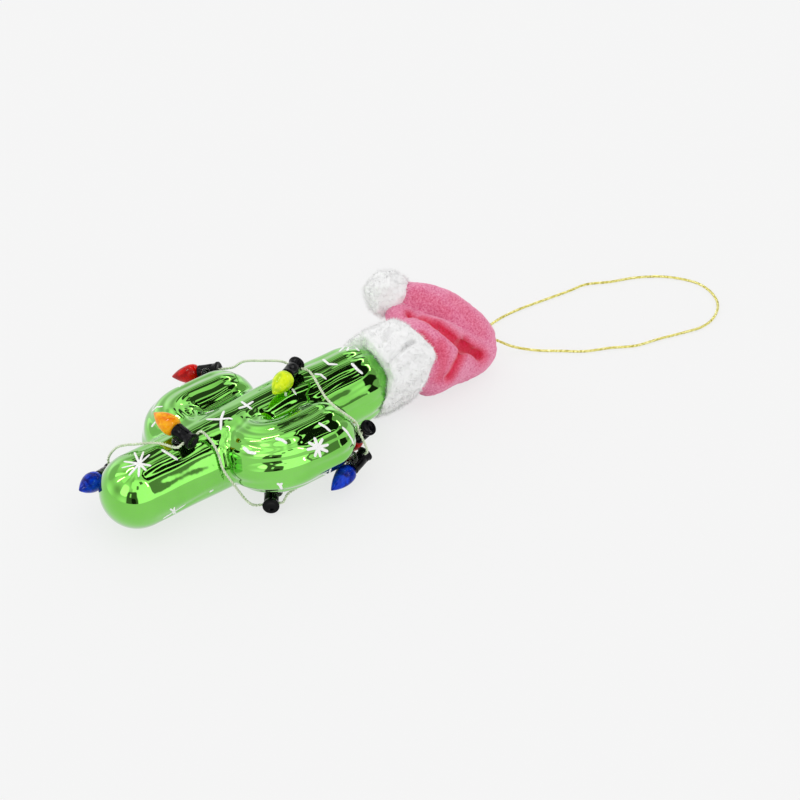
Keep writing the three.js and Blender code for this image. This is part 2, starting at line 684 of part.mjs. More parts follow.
const hat = new THREE.Group();
add(hat, 'hat_cone', hatCone(), 'felt');
add(hat, 'hat_pompom', new THREE.SphereGeometry(pompomRadius, 16, 12), 'fleece');
hat.getObjectByName('hat_pompom').position.copy(pompomCentre);
add(hat, 'cord_strand_a', tube(strandPoints(0), cordRadius, 10), 'gold');
add(hat, 'cord_strand_b', tube(strandPoints(1), cordRadius, 10), 'gold');

// The origin is the middle of the underside of everything but the free cord
const group = new THREE.Group();
const body = new THREE.Group();
body.add(ornament, hat);
body.updateMatrixWorld(true);
const box = new THREE.Box3().setFromObject(body, true);
const cord = mesh('hanging_cord', tube(looseLoop(box.min.z), cordRadius, 76), 'gold');
group.add(body, cord);
for (const part of [body, cord]) part.position.set(-(box.min.x + box.max.x) / 2, -(box.min.y + box.max.y) / 2, -box.min.z);

export default group;
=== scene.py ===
import math

import bpy
import numpy as np
from mathutils import Matrix, Vector
from mathutils.bvhtree import BVHTree


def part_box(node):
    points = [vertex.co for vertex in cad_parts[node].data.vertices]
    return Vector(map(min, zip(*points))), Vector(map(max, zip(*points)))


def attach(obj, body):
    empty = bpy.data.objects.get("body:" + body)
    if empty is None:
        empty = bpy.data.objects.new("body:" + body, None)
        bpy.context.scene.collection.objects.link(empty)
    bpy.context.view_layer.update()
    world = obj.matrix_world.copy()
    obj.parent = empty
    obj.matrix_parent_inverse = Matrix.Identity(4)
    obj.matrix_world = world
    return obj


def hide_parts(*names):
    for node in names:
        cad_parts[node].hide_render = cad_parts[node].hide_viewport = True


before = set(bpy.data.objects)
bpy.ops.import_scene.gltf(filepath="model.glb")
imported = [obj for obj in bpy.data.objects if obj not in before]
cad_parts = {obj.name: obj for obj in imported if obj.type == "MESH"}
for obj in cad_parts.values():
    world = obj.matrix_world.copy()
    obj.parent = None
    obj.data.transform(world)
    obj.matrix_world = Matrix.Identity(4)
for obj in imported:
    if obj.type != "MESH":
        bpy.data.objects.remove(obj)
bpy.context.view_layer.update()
bpy.context.scene.view_settings.view_transform = "Standard"

# Lengths are in millimetres until a mesh is made. Glass coordinates have +X up the trunk from the
# centre of the foot, +Y to the far arm. Floor coordinates have the foot's centre above their origin.
MM = 0.001
random = np.random.default_rng(20)
radians = math.radians

ROLL, PITCH = radians(8.74), radians(1.1)
KNOT_MIDDLE = 124.4
FOOT_HEIGHT = 14.352
cr, sr, cp, sp = math.cos(ROLL), math.sin(ROLL), math.cos(PITCH), math.sin(PITCH)
TURN = np.array([[cp, 0, -sp], [0, 1, 0], [sp, 0, cp]]) @ np.array([[1, 0, 0], [0, cr, sr], [0, -sr, cr]])
# The knot's solid says where the foot and the floor under it are in the row frame
knot_low, knot_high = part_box("cord_knot")
FOOT = np.array((knot_low + knot_high) / 2) / MM - TURN @ np.array([KNOT_MIDDLE, 0, 0])
LAY = FOOT - np.array([0, 0, FOOT_HEIGHT])


def from_glass(points):
    return np.asarray(points, float) @ TURN.T + FOOT


def from_floor(points):
    return np.asarray(points, float) + LAY


def placed(name, data):
    obj = bpy.data.objects.new(name, data)
    bpy.context.scene.collection.objects.link(obj)
    return obj


# Camera

EYE = from_floor((-205.78, -409.06, 412.93))
FORWARD = np.array([0.47725, 0.61749, -0.62524])
RIGHT = np.array([0.7912, -0.6115, 0])
UP = np.cross(RIGHT, FORWARD)
FOCAL, HALF = 1800, 400

camera = placed("Camera", bpy.data.cameras.new("Camera"))
bpy.context.scene.camera = camera
camera.data.lens = 81
camera.data.sensor_width = 36
camera.data.clip_start = 0.01
camera.data.clip_end = 20
camera.matrix_world = Matrix(
    [[*row, place * MM] for row, place in zip(np.stack([RIGHT, UP, -FORWARD], 1), EYE)] + [[0, 0, 0, 1]])


def sight(px, py):
    """The direction from the eye through a point of the 800 x 800 frame."""
    ray = FORWARD * FOCAL + RIGHT * (px - HALF) + UP * (HALF - py)
    return ray / np.linalg.norm(ray)


# Mesh helpers


def mesh_of(name, verts, faces):
    mesh = bpy.data.meshes.new(name)
    mesh.from_pydata((verts * MM).tolist(), [], [f for group in faces for f in group.tolist()])
    return mesh


def make(name, shape, material, slot, *nodes, normals=None):
    """A mesh object from a shape in millimetres of the row frame, riding on the root body."""
    mesh = mesh_of(name, *shape)
    mesh.polygons.foreach_set("use_smooth", [True] * len(mesh.polygons))
    mesh.validate()
    if normals is not None:
        mesh.normals_split_custom_set_from_vertices(normals.tolist())
    obj = placed(name, mesh)
    mesh.materials.append(material)
    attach(obj, "root")
    if nodes:
        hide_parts(*nodes)
    return obj


def joined(parts):
    """Several shapes in one. A shape is (verts, faces), with the faces in arrays by their number of corners."""
    verts, faces, base = [], {}, 0
    for v, groups in parts:
        for f in groups:
            faces.setdefault(f.shape[1], []).append(f + base)
        verts.append(v)
        base += len(v)
    return np.concatenate(verts), [np.concatenate(f) for f in faces.values()]


def skin(rings, closed=False):
    """Quads over rings of points, with a fan on each end, or closed upon itself."""
    rings = np.asarray(rings, float)
    count, n = rings.shape[:2]
    i = np.arange(n)
    j = (i + 1) % n
    rows = np.arange(count if closed else count - 1)[:, None]
    a, b = rows * n + i, rows * n + j
    up = ((rows + 1) % count - rows) * n
    quads = np.stack([a, b, b + up, a + up], -1).reshape(-1, 4)
    verts = rings.reshape(-1, 3)
    if closed:
        return verts, [quads]
    ends = [rings[0].mean(0), rings[-1].mean(0)]
    last = (count - 1) * n
    low = np.stack([np.full(n, len(verts)), j, i], -1)
    high = np.stack([np.full(n, len(verts) + 1), last + i, last + j], -1)
    return np.vstack([verts, ends]), [quads, np.vstack([low, high])]


def unit(a):
    a = np.asarray(a, float)
    return a / np.linalg.norm(a, axis=-1, keepdims=True)


def circle(count):
    """So many even angles round a full turn."""
    return np.arange(count) * 2 * math.pi / count


def round_of(centre, side, high, radius, angle):
    """Points round a centre, in the plane of two directions."""
    return centre + np.outer(radius * np.cos(angle), side) + np.outer(radius * np.sin(angle), high)


def parallel(polar, angle):
    """Points of a unit ball at one polar angle."""
    ring = [np.sin(polar) * np.cos(angle), np.sin(polar) * np.sin(angle), np.full(len(angle), np.cos(polar))]
    return np.stack(ring, 1)


def turned(profile, foot, axis, segments=40, wobble=None):
    """A lathe of (radius, along) points about an axis in glass coordinates; wobble adds a share of the radius."""
    axis = unit(axis)
    side = unit(np.cross(axis, (0.3, 0.2, 1)))
    high = np.cross(axis, side)
    angle = circle(segments)
    rings = []
    for radius, along in profile:
        r = radius * (1 + wobble(angle, along)) if wobble else np.full(segments, radius)
        rings.append(round_of(foot + axis * along, side, high, np.maximum(r, 1e-4), angle))
    return skin(from_glass(rings))


def centripetal(points, step):
    """A centripetal Catmull-Rom curve through the points, evenly spaced, and its length."""
    p = np.asarray(points, float)
    p = np.vstack([2 * p[0] - p[1], p, 2 * p[-1] - p[-2]])
    out = []
    t = np.linspace(0, 1, 24, endpoint=False)[:, None]
    for k in range(1, len(p) - 2):
        x0, x1, x2, x3 = p[k - 1:k + 3]
        d0, d1, d2 = (np.linalg.norm(b - a) ** 0.5 for a, b in ((x0, x1), (x1, x2), (x2, x3)))
        m1 = ((x1 - x0) / d0 - (x2 - x0) / (d0 + d1) + (x2 - x1) / d1) * d1
        m2 = ((x2 - x1) / d1 - (x3 - x1) / (d1 + d2) + (x3 - x2) / d2) * d1
        c2, c3 = -3 * x1 + 3 * x2 - 2 * m1 - m2, 2 * x1 - 2 * x2 + m1 + m2
        out.append(x1 + m1 * t + c2 * t ** 2 + c3 * t ** 3)
    line = np.vstack([*out, p[-2:-1]])
    along = np.concatenate([[0], np.cumsum(np.linalg.norm(np.diff(line, axis=0), axis=1))])
    even = np.linspace(0, along[-1], max(4, int(round(along[-1] / step)) + 1))
    return np.stack([np.interp(even, along, line[:, i]) for i in range(3)], 1), along[-1]


def transported(line):
    """Two normals carried along a line without twist."""
    tangents = unit(np.gradient(line, axis=0))
    normal = unit(np.cross(tangents[0], (0.2, 0.9, 0.4)))
    sides = []
    for t in tangents:
        normal = unit(normal - t * (normal @ t))
        sides.append(normal)
    sides = np.array(sides)
    return sides, np.cross(tangents, sides)


def tube(line, radius, sides):
    a, b = transported(line)
    angle = circle(sides)
    ring = a[:, None] * np.cos(angle)[:, None] + b[:, None] * np.sin(angle)[:, None]
    return skin(line[:, None] + ring * radius)


def twisted(line, length, radius, offset, pitch, strands, sides=6):
    """Round strands laid about a line like a rope, their middles offset from it."""
    a, b = transported(line)
    along = np.linspace(0, length, len(line))
    parts = []
    for k in range(strands):
        angle = 2 * math.pi * (along / pitch + k / strands)
        centre = line + offset * (a * np.cos(angle)[:, None] + b * np.sin(angle)[:, None])
        parts.append(tube(centre, radius, sides))
    return joined(parts)


def smooth(low, high, x):
    """0 up to low, 1 from high on, with a soft step between."""
    t = np.clip((x - low) / (high - low), 0, 1)
    return t * t * (3 - 2 * t)


# Materials: a bump's distance is in metres, and a noise's scale is per metre

# The name of the felt's mask of painted shade in its folds
FOLD_SHADE = "fold_shade"


def material(name, **values):
    """A Principled material; the values are set on its own sockets."""
    mat = bpy.data.materials.new(name)
    mat.use_nodes = True
    shader = mat.node_tree.nodes["Principled BSDF"]
    for key, value in values.items():
        shader.inputs[key.replace("_", " ")].default_value = value
    return mat, mat.node_tree, shader


def node(tree, kind, **values):
    made = tree.nodes.new(kind)
    for key, value in values.items():
        if key.startswith("in_"):
            made.inputs[key[3:].replace("_", " ")].default_value = value
        else:
            setattr(made, key, value)
    return made


def feed(tree, value, socket):
    """Link an output to a socket, or give the socket a plain value."""
    if isinstance(value, bpy.types.NodeSocket):
        tree.links.new(value, socket)
    else:
        socket.default_value = value


def output(tree, kind, *values, **settings):
    """The first output of a new node whose first inputs get these values."""
    made = node(tree, kind, **settings)
    for value, socket in zip(values, made.inputs):
        feed(tree, value, socket)
    return made.outputs[0]


def maths(tree, operation, *values):
    return output(tree, "ShaderNodeMath", *values, operation=operation)


def mixed(tree, kind, share, low, high):
    """A mix of two values of the kind FLOAT or RGBA."""
    made = node(tree, "ShaderNodeMix", data_type=kind)
    first, result = {"FLOAT": (2, 0), "RGBA": (6, 2)}[kind]
    for value, k in ((share, 0), (low, first), (high, first + 1)):
        feed(tree, value, made.inputs[k])
    return made.outputs[result]


def noise(tree, scale, detail=3.0, roughness=0.5, distortion=0.0):
    """Noise over object coordinates, which are the row frame's metres."""
    made = node(tree, "ShaderNodeTexNoise", in_Scale=scale, in_Detail=detail, in_Roughness=roughness,
                in_Distortion=distortion)
    feed(tree, node(tree, "ShaderNodeTexCoord").outputs["Object"], made.inputs["Vector"])
    return made.outputs["Fac"]


def ramp(tree, source, stops):
    made = node(tree, "ShaderNodeValToRGB")
    while len(made.color_ramp.elements) < len(stops):
        made.color_ramp.elements.new(0.5)
    for element, (place, colour) in zip(made.color_ramp.elements, stops):
        element.position = place
        element.color = (*colour, 1)
    feed(tree, source, made.inputs["Fac"])
    return made.outputs["Color"]


def bump(tree, shader, source, strength, distance):
    made = node(tree, "ShaderNodeBump", in_Strength=strength, in_Distance=distance)
    feed(tree, source, made.inputs["Height"])
    feed(tree, made.outputs["Normal"], shader.inputs["Normal"])


def glass_material():
    """Green lacquer over silver: deeper where it is seen at a slant."""
    mat, tree, shader = material("metallised_glass", Metallic=1.0, Roughness=0.035, Coat_Weight=1.0,
                                 Coat_Roughness=0.02, Coat_IOR=1.5)
    tint = ramp(tree, noise(tree, 45, 3, 0.55), [(0.3, (0.16, 0.57, 0.05)), (0.7, (0.22, 0.68, 0.09))])
    facing = node(tree, "ShaderNodeLayerWeight", in_Blend=0.5).outputs["Facing"]
    slant = output(tree, "ShaderNodeMapRange", facing, 0.6, 0.98, 0.0, 0.7)
    feed(tree, mixed(tree, "RGBA", slant, tint, (0.01, 0.17, 0.02, 1)), shader.inputs["Base Color"])
    bump(tree, shader, noise(tree, 160, 2), 0.035, 0.0006)
    return mat


def felt_material():
    """Pink felt, with painted shade down in its folds: darker and redder there."""
    mat, tree, shader = material("pink_felt", Roughness=0.95, Sheen_Weight=0.35, Sheen_Roughness=0.6,
                                 Sheen_Tint=(1, 0.72, 0.83, 1))
    speckle = noise(tree, 1500, 3, 0.7)
    open_felt = ramp(tree, speckle, [(0.34, (0.66, 0.10, 0.23)), (0.5, (0.80, 0.22, 0.38)), (0.66, (0.90, 0.38, 0.54))])
    # Painted shade: the darker, redder felt that stands in for the shade down in the folds
    painted_fold_shade = ramp(tree, speckle, [(0.32, (0.62, 0.0, 0.02)), (0.7, (0.78, 0.01, 0.09))])
    fold_shade = node(tree, "ShaderNodeAttribute", attribute_name=FOLD_SHADE).outputs["Fac"]
    feed(tree, mixed(tree, "RGBA", fold_shade, open_felt, painted_fold_shade), shader.inputs["Base Color"])
    bump(tree, shader, noise(tree, 1800, 4, 0.7), 0.5, 0.0003)
    return mat


def socket_material():
    mat, tree, shader = material("socket_black", Base_Color=(0.002, 0.002, 0.003, 1), Specular_IOR_Level=0.12)
    feed(tree, output(tree, "ShaderNodeMapRange", noise(tree, 700, 3), 0, 1, 0.06, 0.16), shader.inputs["Roughness"])
    return mat


def plain_material(name, grain=None, stops=(), relief=None, **values):
    """Coloured by the stops over noise of a grain, and rough by a relief of (noise, strength, distance)."""
    mat, tree, shader = material(name, **values)
    if grain:
        feed(tree, ramp(tree, noise(tree, *grain), stops), shader.inputs["Base Color"])
    if relief:
        bump(tree, shader, noise(tree, *relief[0]), *relief[1:])
    return mat


GLASS, FELT, SOCKET = glass_material(), felt_material(), socket_material()
FLEECE = plain_material("white_fleece", (400, 3, 0.6), [(0.3, (0.955, 0.955, 0.955)), (0.7, (0.99, 0.99, 0.99))],
                        ((900, 4, 0.7), 0.25, 0.0003), Roughness=1.0, Specular_IOR_Level=0.0)
GOLD = plain_material("gold_cord", (1400, 2, 0.6),
                      [(0.36, (0.42, 0.36, 0.03)), (0.5, (0.84, 0.77, 0.2)), (0.66, (1.0, 0.97, 0.55))],
                      Metallic=0.6, Roughness=0.3)
WIRE = plain_material("wire_green", (500, 2), [(0.3, (0.58, 0.68, 0.46)), (0.7, (0.80, 0.87, 0.68))], Roughness=0.42)
GLUE = plain_material("clear_glue", relief=((350, 2), 0.3, 0.0005), Roughness=0.03, IOR=1.3,
                      Transmission_Weight=1.0, Base_Color=(0.7, 0.8, 0.68, 1))
PAINT = plain_material("white_paint", relief=((900, 2), 0.2, 0.0002), Roughness=0.5, Base_Color=(0.95, 0.95, 0.95, 1))
STEEL = plain_material("plated_steel", Metallic=1.0, Roughness=0.25, Base_Color=(0.62, 0.62, 0.6, 1))
BULBS = {
    name: plain_material("bulb_" + name, (260, 2, 0.5, 1.2), [(0.35, deep), (0.65, bright)],
                         ((220, 1.5), 0.25, 0.0006), Roughness=0.06, IOR=1.4, Specular_IOR_Level=0.25)
    for name, deep, bright in (
        ("red", (0.34, 0.0, 0.0), (0.76, 0.004, 0.0)),
        ("orange", (0.85, 0.20, 0.0), (1.0, 0.50, 0.01)),
        ("green", (0.0, 0.10, 0.0), (0.02, 0.36, 0.02)),
        ("yellow", (0.36, 0.62, 0.0), (0.80, 0.95, 0.02)),
        ("blue", (0.0, 0.004, 0.16), (0.004, 0.05, 0.66)))
}

# Hanging cord: the free loop on the floor, in floor coordinates

CORD_DIAMETER = 1.1
CORD_STRANDS = {"radius": 0.29, "offset": 0.255, "pitch": 2.1, "strands": 3}
# The cord's two exits from the hat, a place inside on each one's line, and the way out along it
EXITS = np.array([(152.9, 3.4, 8.2), (152.2, -0.8, 7.4)])
INSIDE = EXITS + [(-5, -0.8, 1), (-5, 0.2, 1)]
LEAVE = unit(EXITS - INSIDE)
CORD_HEIGHT = CORD_DIAMETER / 2 + 0.08 - LAY[2]
ON_FLOOR = [
    (171.6, 14.4), (180.5, 14.4), (192.2, 13.1), (204.1, 11.7), (212.2, 11), (221.4, 6.3), (231.2, 2.4),
    (239.6, -3.1), (245.2, -9.6), (248.2, -15.9), (248.2, -22.3), (245.6, -28.9), (240.9, -33.6),
    (234.3, -36.8), (228.2, -37.5), (220.9, -36), (210.5, -33.1), (199.8, -30.6), (191.5, -25.8),
    (182.6, -21.6), (175.2, -15.7),
]
cord_points = [
    EXITS[0] + LEAVE[0] * 0.3, EXITS[0] + LEAVE[0] * 2, (158.6, 7.4, 5.2), (163.6, 12.4, 1.5),
    *((x, y, CORD_HEIGHT) for x, y in ON_FLOOR),
    (167.4, -9.4, 1), (160.8, -4.4, 2.8), EXITS[1] + LEAVE[1] * 2, EXITS[1] + LEAVE[1] * 0.3,
]
cord_line, cord_length = centripetal(from_floor(cord_points), step=0.2)
cord = make("cord_loop", twisted(cord_line, cord_length, **CORD_STRANDS), GOLD, "gold_cord", "hanging_cord")

# Glass: trunk and two arms, as distances from a ribbed skin

FOOT_RADIUS, HEAD_RADIUS, HEAD_START, HEAD_LENGTH = 13, 14.5, 86, 17
SWELL = (10, 75)
RIB_DEPTH, TRUNK_RIBS, ARM_RIBS = 0.44, 14, 12
ARM_BEND, ARM_GROWTH = 9, 16
BLEND = 3.0
NEWTON_STEPS, ROUGH_SIDES = 7, 48


def rib_at(up, across, count):
    """The place round a limb, in ribs counted from below."""
    return count * (np.arctan2(up, across) / (2 * math.pi) + 0.25) + 0.5


def wander(turn, along, *waves):
    """Ribs that wander along a limb, by waves of (amount, length, phase for each rib)."""
    return sum((amount * np.sin(along / length + phase * turn) for amount, length, phase in waves), turn)


class Arm:
    """A limb that leaves the trunk at start, reaches out and bends to run along it up to tip.

    Its radius grows from root to end, lift turns it up in degrees, and side is +1 for the far arm."""

    def __init__(self, start, reach, tip, root, end, lift, side):
        self.start, self.reach, self.tip, self.side = start, reach, tip, side
        self.root, self.end = root, end
        self.outward = reach - ARM_BEND
        self.quarter = ARM_BEND * math.pi / 2
        self.length = self.outward + self.quarter + tip - start - ARM_BEND
        turn = radians(side * lift)
        self.lean = np.array([[1, 0, 0], [0, math.cos(turn), -math.sin(turn)], [0, math.sin(turn), math.cos(turn)]])

    def at(self, s):
        """The point so far along the middle line, and the way that the line runs there."""
        if s < self.outward:
            point, way = (self.start, self.side * s, 0), (0, self.side, 0)
        elif s < self.outward + self.quarter:
            a = (s - self.outward) / ARM_BEND
            point = (self.start + ARM_BEND * (1 - math.cos(a)), self.side * (self.outward + ARM_BEND * math.sin(a)), 0)
            way = (math.sin(a), self.side * math.cos(a), 0)
        else:
            along = s - self.outward - self.quarter
            point, way = (self.start + ARM_BEND + along, self.side * self.reach, 0), (1, 0, 0)
        return np.array(point, float), np.array(way, float)

    def grown(self, s):
        return self.root + (self.end - self.root) * smooth(0, ARM_GROWTH, s)

    def radius(self, s):
        past = s - self.length
        return math.sqrt(max(0, self.end ** 2 - past ** 2)) if past > 0 else float(self.grown(s))

    def distance(self, p):
        """How far points are off the skin, from the nearest of three spans: out, bend and straight."""
        p = p @ self.lean
        x, y, z = p[:, 0], self.side * p[:, 1], p[:, 2]
        bend_x = self.start + ARM_BEND
        angle = np.clip(np.arctan2(y - self.outward, bend_x - x), 0, math.pi / 2)
        angle = np.where(y < self.outward, 0, np.where(x > bend_x, math.pi / 2, angle))
        lateral, straight = np.clip(y, 0, self.outward), np.clip(x, bend_x, self.tip)
        zero, one = np.zeros_like(x), np.ones_like(x)
        spans = [
            (self.start * one, lateral, zero, one, lateral),
            (bend_x - ARM_BEND * np.cos(angle), self.outward + ARM_BEND * np.sin(angle), np.sin(angle), np.cos(angle),
             self.outward + ARM_BEND * angle),
            (straight, self.reach * one, one, zero, self.outward + self.quarter + straight - bend_x),
        ]
        best = None
        for px, py, tx, ty, s in spans:
            vx, vy = x - px, y - py
            found = np.stack([np.sqrt(vx * vx + vy * vy + z * z), vy * tx - vx * ty, vx * tx + vy * ty, s])
            best = found if best is None else np.where(found[0] < best[0], found, best)
        away, across, beyond, s = best
        past = np.where(s > self.length - 1e-6, np.maximum(beyond, 0), 0)
        turn = wander(rib_at(z, across, ARM_RIBS), s, (0.07, 5.2, 1.7), (0.05, 2.6, 2.3))
        ribs = RIB_DEPTH * groove(turn) * (1 - smooth(4, 10.8, past)) * (1 + 0.25 * np.sin(s / 7.1 + 2.7 * turn))
        return away - self.grown(s) + ribs


class Trunk:
    """The straight limb, with a round foot and a domed head."""

    lean = np.eye(3)

    def at(self, s):
        return np.array([s, 0.0, 0.0]), np.array([1.0, 0, 0])

    def radius(self, s):
        return math.sqrt(max(0, FOOT_RADIUS ** 2 - s * s)) if s < 0 else float(trunk_radius(s))

    def distance(self, p):
        x, away = p[:, 0], np.hypot(p[:, 1], p[:, 2])
        radius = trunk_radius(x)
        foot = np.sqrt(np.minimum(x, 0) ** 2 + away ** 2) - radius
        head = np.sqrt((np.maximum(x - HEAD_START, 0) * HEAD_RADIUS / HEAD_LENGTH) ** 2 + away ** 2) - radius
        turn = wander(rib_at(p[:, 2], p[:, 1], TRUNK_RIBS), x, (0.07, 6.1, 1.3), (0.05, 2.9, 2.1))
        shown = smooth(-9, 7, x) * (0.45 + 0.55 * smooth(45, 75, x)) * (1 - smooth(91, 99, x))
        shown = shown * (1 + 0.25 * np.sin(x / 8.3 + 2.7 * turn))
        return np.where(x < 0, foot, head) + RIB_DEPTH * groove(turn) * shown


def head_radius(x):
    """The radius in the dome at the top of the trunk."""
    return HEAD_RADIUS * math.sqrt(1 - ((x - HEAD_START) / HEAD_LENGTH) ** 2)


def trunk_radius(x):
    return FOOT_RADIUS + (HEAD_RADIUS - FOOT_RADIUS) * smooth(*SWELL, x)


def groove(turn, softness=0.35):
    """One rounded groove for each rib, from 0 on the crest to 1 at the bottom."""
    wave = np.sqrt(np.sin(math.pi * turn) ** 2 + softness)
    crest, floor = math.sqrt(1 + softness), math.sqrt(softness)
    return (crest - wave) / (crest - floor)


TRUNK = Trunk()
FAR_ARM = Arm(start=25.3, reach=20.7, tip=46.6, root=10.6, end=13.2, lift=4, side=1)
NEAR_ARM = Arm(start=39.8, reach=21.3, tip=60, root=10.8, end=12.4, lift=4.5, side=-1)


def merged(a, b):
    """The nearer of two distances, with a fillet where they meet."""
    h = np.maximum(BLEND - np.abs(a - b), 0) / BLEND
    return np.minimum(a, b) - h * h * BLEND / 4


def glass_distance(p):
    return merged(merged(TRUNK.distance(p), FAR_ARM.distance(p)), NEAR_ARM.distance(p))


def slope(distance, p, reach=0.03):
    """The gradient of a distance, by differences over a short reach."""
    return np.stack([(distance(p + d) - distance(p - d)) / (2 * reach) for d in reach * np.eye(3)], -1)


def voxelised(parts, size, relax):
    """One even skin over overlapping closed parts, from voxels of a size, relaxed so many times."""
    rough = placed("rough", mesh_of("rough", *joined(parts)))
    remesh = rough.modifiers.new("Remesh", "REMESH")
    remesh.mode = "VOXEL"
    remesh.voxel_size = size * MM
    rough.modifiers.new("Smooth", "SMOOTH").iterations = relax
    done = bpy.data.meshes.new_from_object(rough.evaluated_get(bpy.context.evaluated_depsgraph_get()))
    bpy.data.objects.remove(rough)

    def read(items, key, kind, width=1):
        values = np.empty(len(items) * width, kind)
        items.foreach_get(key, values)
        return values

    co = read(done.vertices, "co", np.float32, 3)
    total = read(done.polygons, "loop_total", np.int32)
    index = read(done.loops, "vertex_index", np.int32)
    starts = np.cumsum(total) - total
    faces = [np.stack([index[starts[total == n] + k] for k in range(n)], -1) for n in (4, 3) if (total == n).any()]
    return co.reshape(-1, 3).astype(float) / MM, faces


def ring(centre, tangent, radius):
    """A circle of points across a tangent."""
    side = np.cross((0, 0, 1), tangent)
    side = unit(side) if np.linalg.norm(side) > 1e-6 else np.array([0, 1.0, 0])
    return round_of(centre, side, np.cross(tangent, side), radius, circle(ROUGH_SIDES))


def build_glass():
    """A rough skin of the limbs, moved onto the ribbed one by Newton's method."""
    sections = [(x, TRUNK.radius(x)) for x in (-12.6, -11, -8, -4, 0, 20, 50, HEAD_START)]
    sections += [(x, head_radius(x)) for x in (91, 95, 98, 100.5, 102)]
    parts = [skin([ring(*TRUNK.at(x), radius) for x, radius in sections])]
    for limb in (FAR_ARM, NEAR_ARM):
        tip = limb.length + limb.end * np.array([0.3, 0.55, 0.75, 0.9, 0.98])
        stations = [*np.linspace(0, limb.length, 16), *tip]
        parts.append(skin([ring(*limb.at(s), limb.radius(s)) @ limb.lean.T for s in stations]))
    verts, faces = voxelised(parts, size=0.42, relax=3)
    for _ in range(NEWTON_STEPS):
        gradient = slope(glass_distance, verts)
        steepness = np.maximum((gradient ** 2).sum(1, keepdims=True), 0.3)
        verts = verts - glass_distance(verts)[:, None] * gradient / steepness
    return (from_glass(verts), faces), unit(slope(glass_distance, verts)) @ TURN.T


glass, glass_normals = build_glass()
make("glass_body", glass, GLASS, "glass", "glass_cactus", normals=glass_normals)

# Places on the glass


def around(limb, s, degrees, gap):
    """A place along a limb, at an angle round it and so far off its surface, and the normal there."""
    point, tangent = limb.at(s)
    side = np.cross((0, 0, 1), tangent)
    angle = radians(degrees)
    normal = side * math.cos(angle) + np.array([0, 0, 1]) * math.sin(angle)
    return limb.lean @ (point + normal * (limb.radius(s) + gap)), limb.lean @ normal


def over(limb, polar, degrees, gap):
    """A place over an arm's round tip, so far from its pole, and the normal there."""
    point, tangent = limb.at(limb.length)
    outward = around(limb, limb.length, degrees, 0)[1]
    normal = tangent * math.cos(radians(polar)) + outward * math.sin(radians(polar))
    return limb.lean @ point + normal * (limb.end + gap), normal


def route(place, limb, *stations):
    """Points of a wire's route, from stations by around or over a limb."""
    return [place(limb, *station)[0] for station in stations]


def heading(azimuth, elevation):
    a, e = radians(azimuth), radians(elevation)
    return np.array([math.cos(a) * math.cos(e), math.sin(a) * math.cos(e), math.sin(e)])


# Painted marks on the glass: short raised strokes. Each has its width in millimetres, then the x and y of its
# points in the frame


def star(middle, *spokes):
    """Strokes from one middle, each with its width and end."""
    return [(width, *middle, *end) for width, *end in spokes]


STROKES = [
    *star((139.3, 463.6), (0.75, 123.6, 461.4), (0.7, 134.3, 452.1), (0.7, 143.6, 451.4), (0.6, 150, 454.3),
          (0.8, 151.4, 465.7), (0.8, 146.4, 470.7), (0.75, 138.6, 477.1), (0.75, 128.6, 475.7), (0.5, 121.4, 467.9)),
    (0.9, 161.4, 449.3, 169, 454, 177.9, 460), (0.8, 224, 410.7, 221.1, 418.6, 220.7, 430.3),
    (0.8, 205.7, 419.3, 218.6, 419.3, 229.3, 418.3, 232.9, 419.3),
    (0.8, 241.1, 401.4, 252.1, 409.3), (0.8, 238.3, 408.6, 246, 406, 253.6, 401.1),
    (0.4, 240.7, 395, 252.9, 392.1), (0.4, 205, 413.6, 214.3, 410.3),
    (0.7, 152.1, 411.4, 156.4, 407.1, 162.9, 406.4), (0.9, 151.4, 427.1, 155.7, 421.7),
    (0.6, 175, 387.9, 184.3, 384.3), (0.5, 177.9, 384.3, 180, 387.1),
    (0.7, 292.1, 388.6, 296.4, 395), (0.7, 285.7, 392.1, 285.7, 396.2),
    (1, 242.9, 447.1, 248.6, 452.1, 256.4, 453.6), (0.9, 275, 438.3, 282.1, 440, 287.1, 443.6),
    (0.9, 277.1, 483.1, 280.3, 485.7, 281.8, 489.3), (0.8, 282.1, 482.8, 280.3, 485.7),
    (0.7, 253.6, 491.4, 256.4, 493.6), (0.8, 209.3, 492.1, 213.6, 489.7),
    (0.6, 162.9, 518.6, 174.3, 511.6, 185.7, 504.3), (0.6, 170, 508.6, 177.9, 515),
    (0.6, 174.3, 507.1, 173.6, 516.4), (0.5, 332.1, 348.6, 342, 345, 350, 345.5),
    (0.7, 339.3, 351.7, 344, 347, 349, 344.4), (0.7, 347.1, 350.7, 349, 346, 350.5, 344.5),
    (0.8, 359.3, 351.1, 354.5, 346.4, 350, 344.6), (0.9, 322.9, 359.3, 328.6, 364, 337.9, 364.6),
    (1, 351.4, 363.1, 357.1, 369.3, 362.9, 374), (0.8, 314.3, 374, 320.7, 374.6, 326.4, 379.3),
    (0.8, 318.3, 422.9, 325.7, 427.1, 330.7, 431.7),
    (0.8, 342.1, 426.9, 347.1, 432.1, 352.1, 440, 353.4, 443.7),
    *star((317.9, 447.4), (1, 314.3, 437.1), (1, 322.9, 438.3), (1, 328.9, 444.6), (1, 328.3, 451.7),
          (1, 320.7, 457.4), (1, 314.6, 457.1), (1, 306.4, 449.7), (1, 307.9, 442.1)),
    (0.7, 330.7, 468.6, 329.2, 473.4, 328.3, 477.1), (0.6, 322.9, 474, 329.2, 474, 335.7, 475),
]
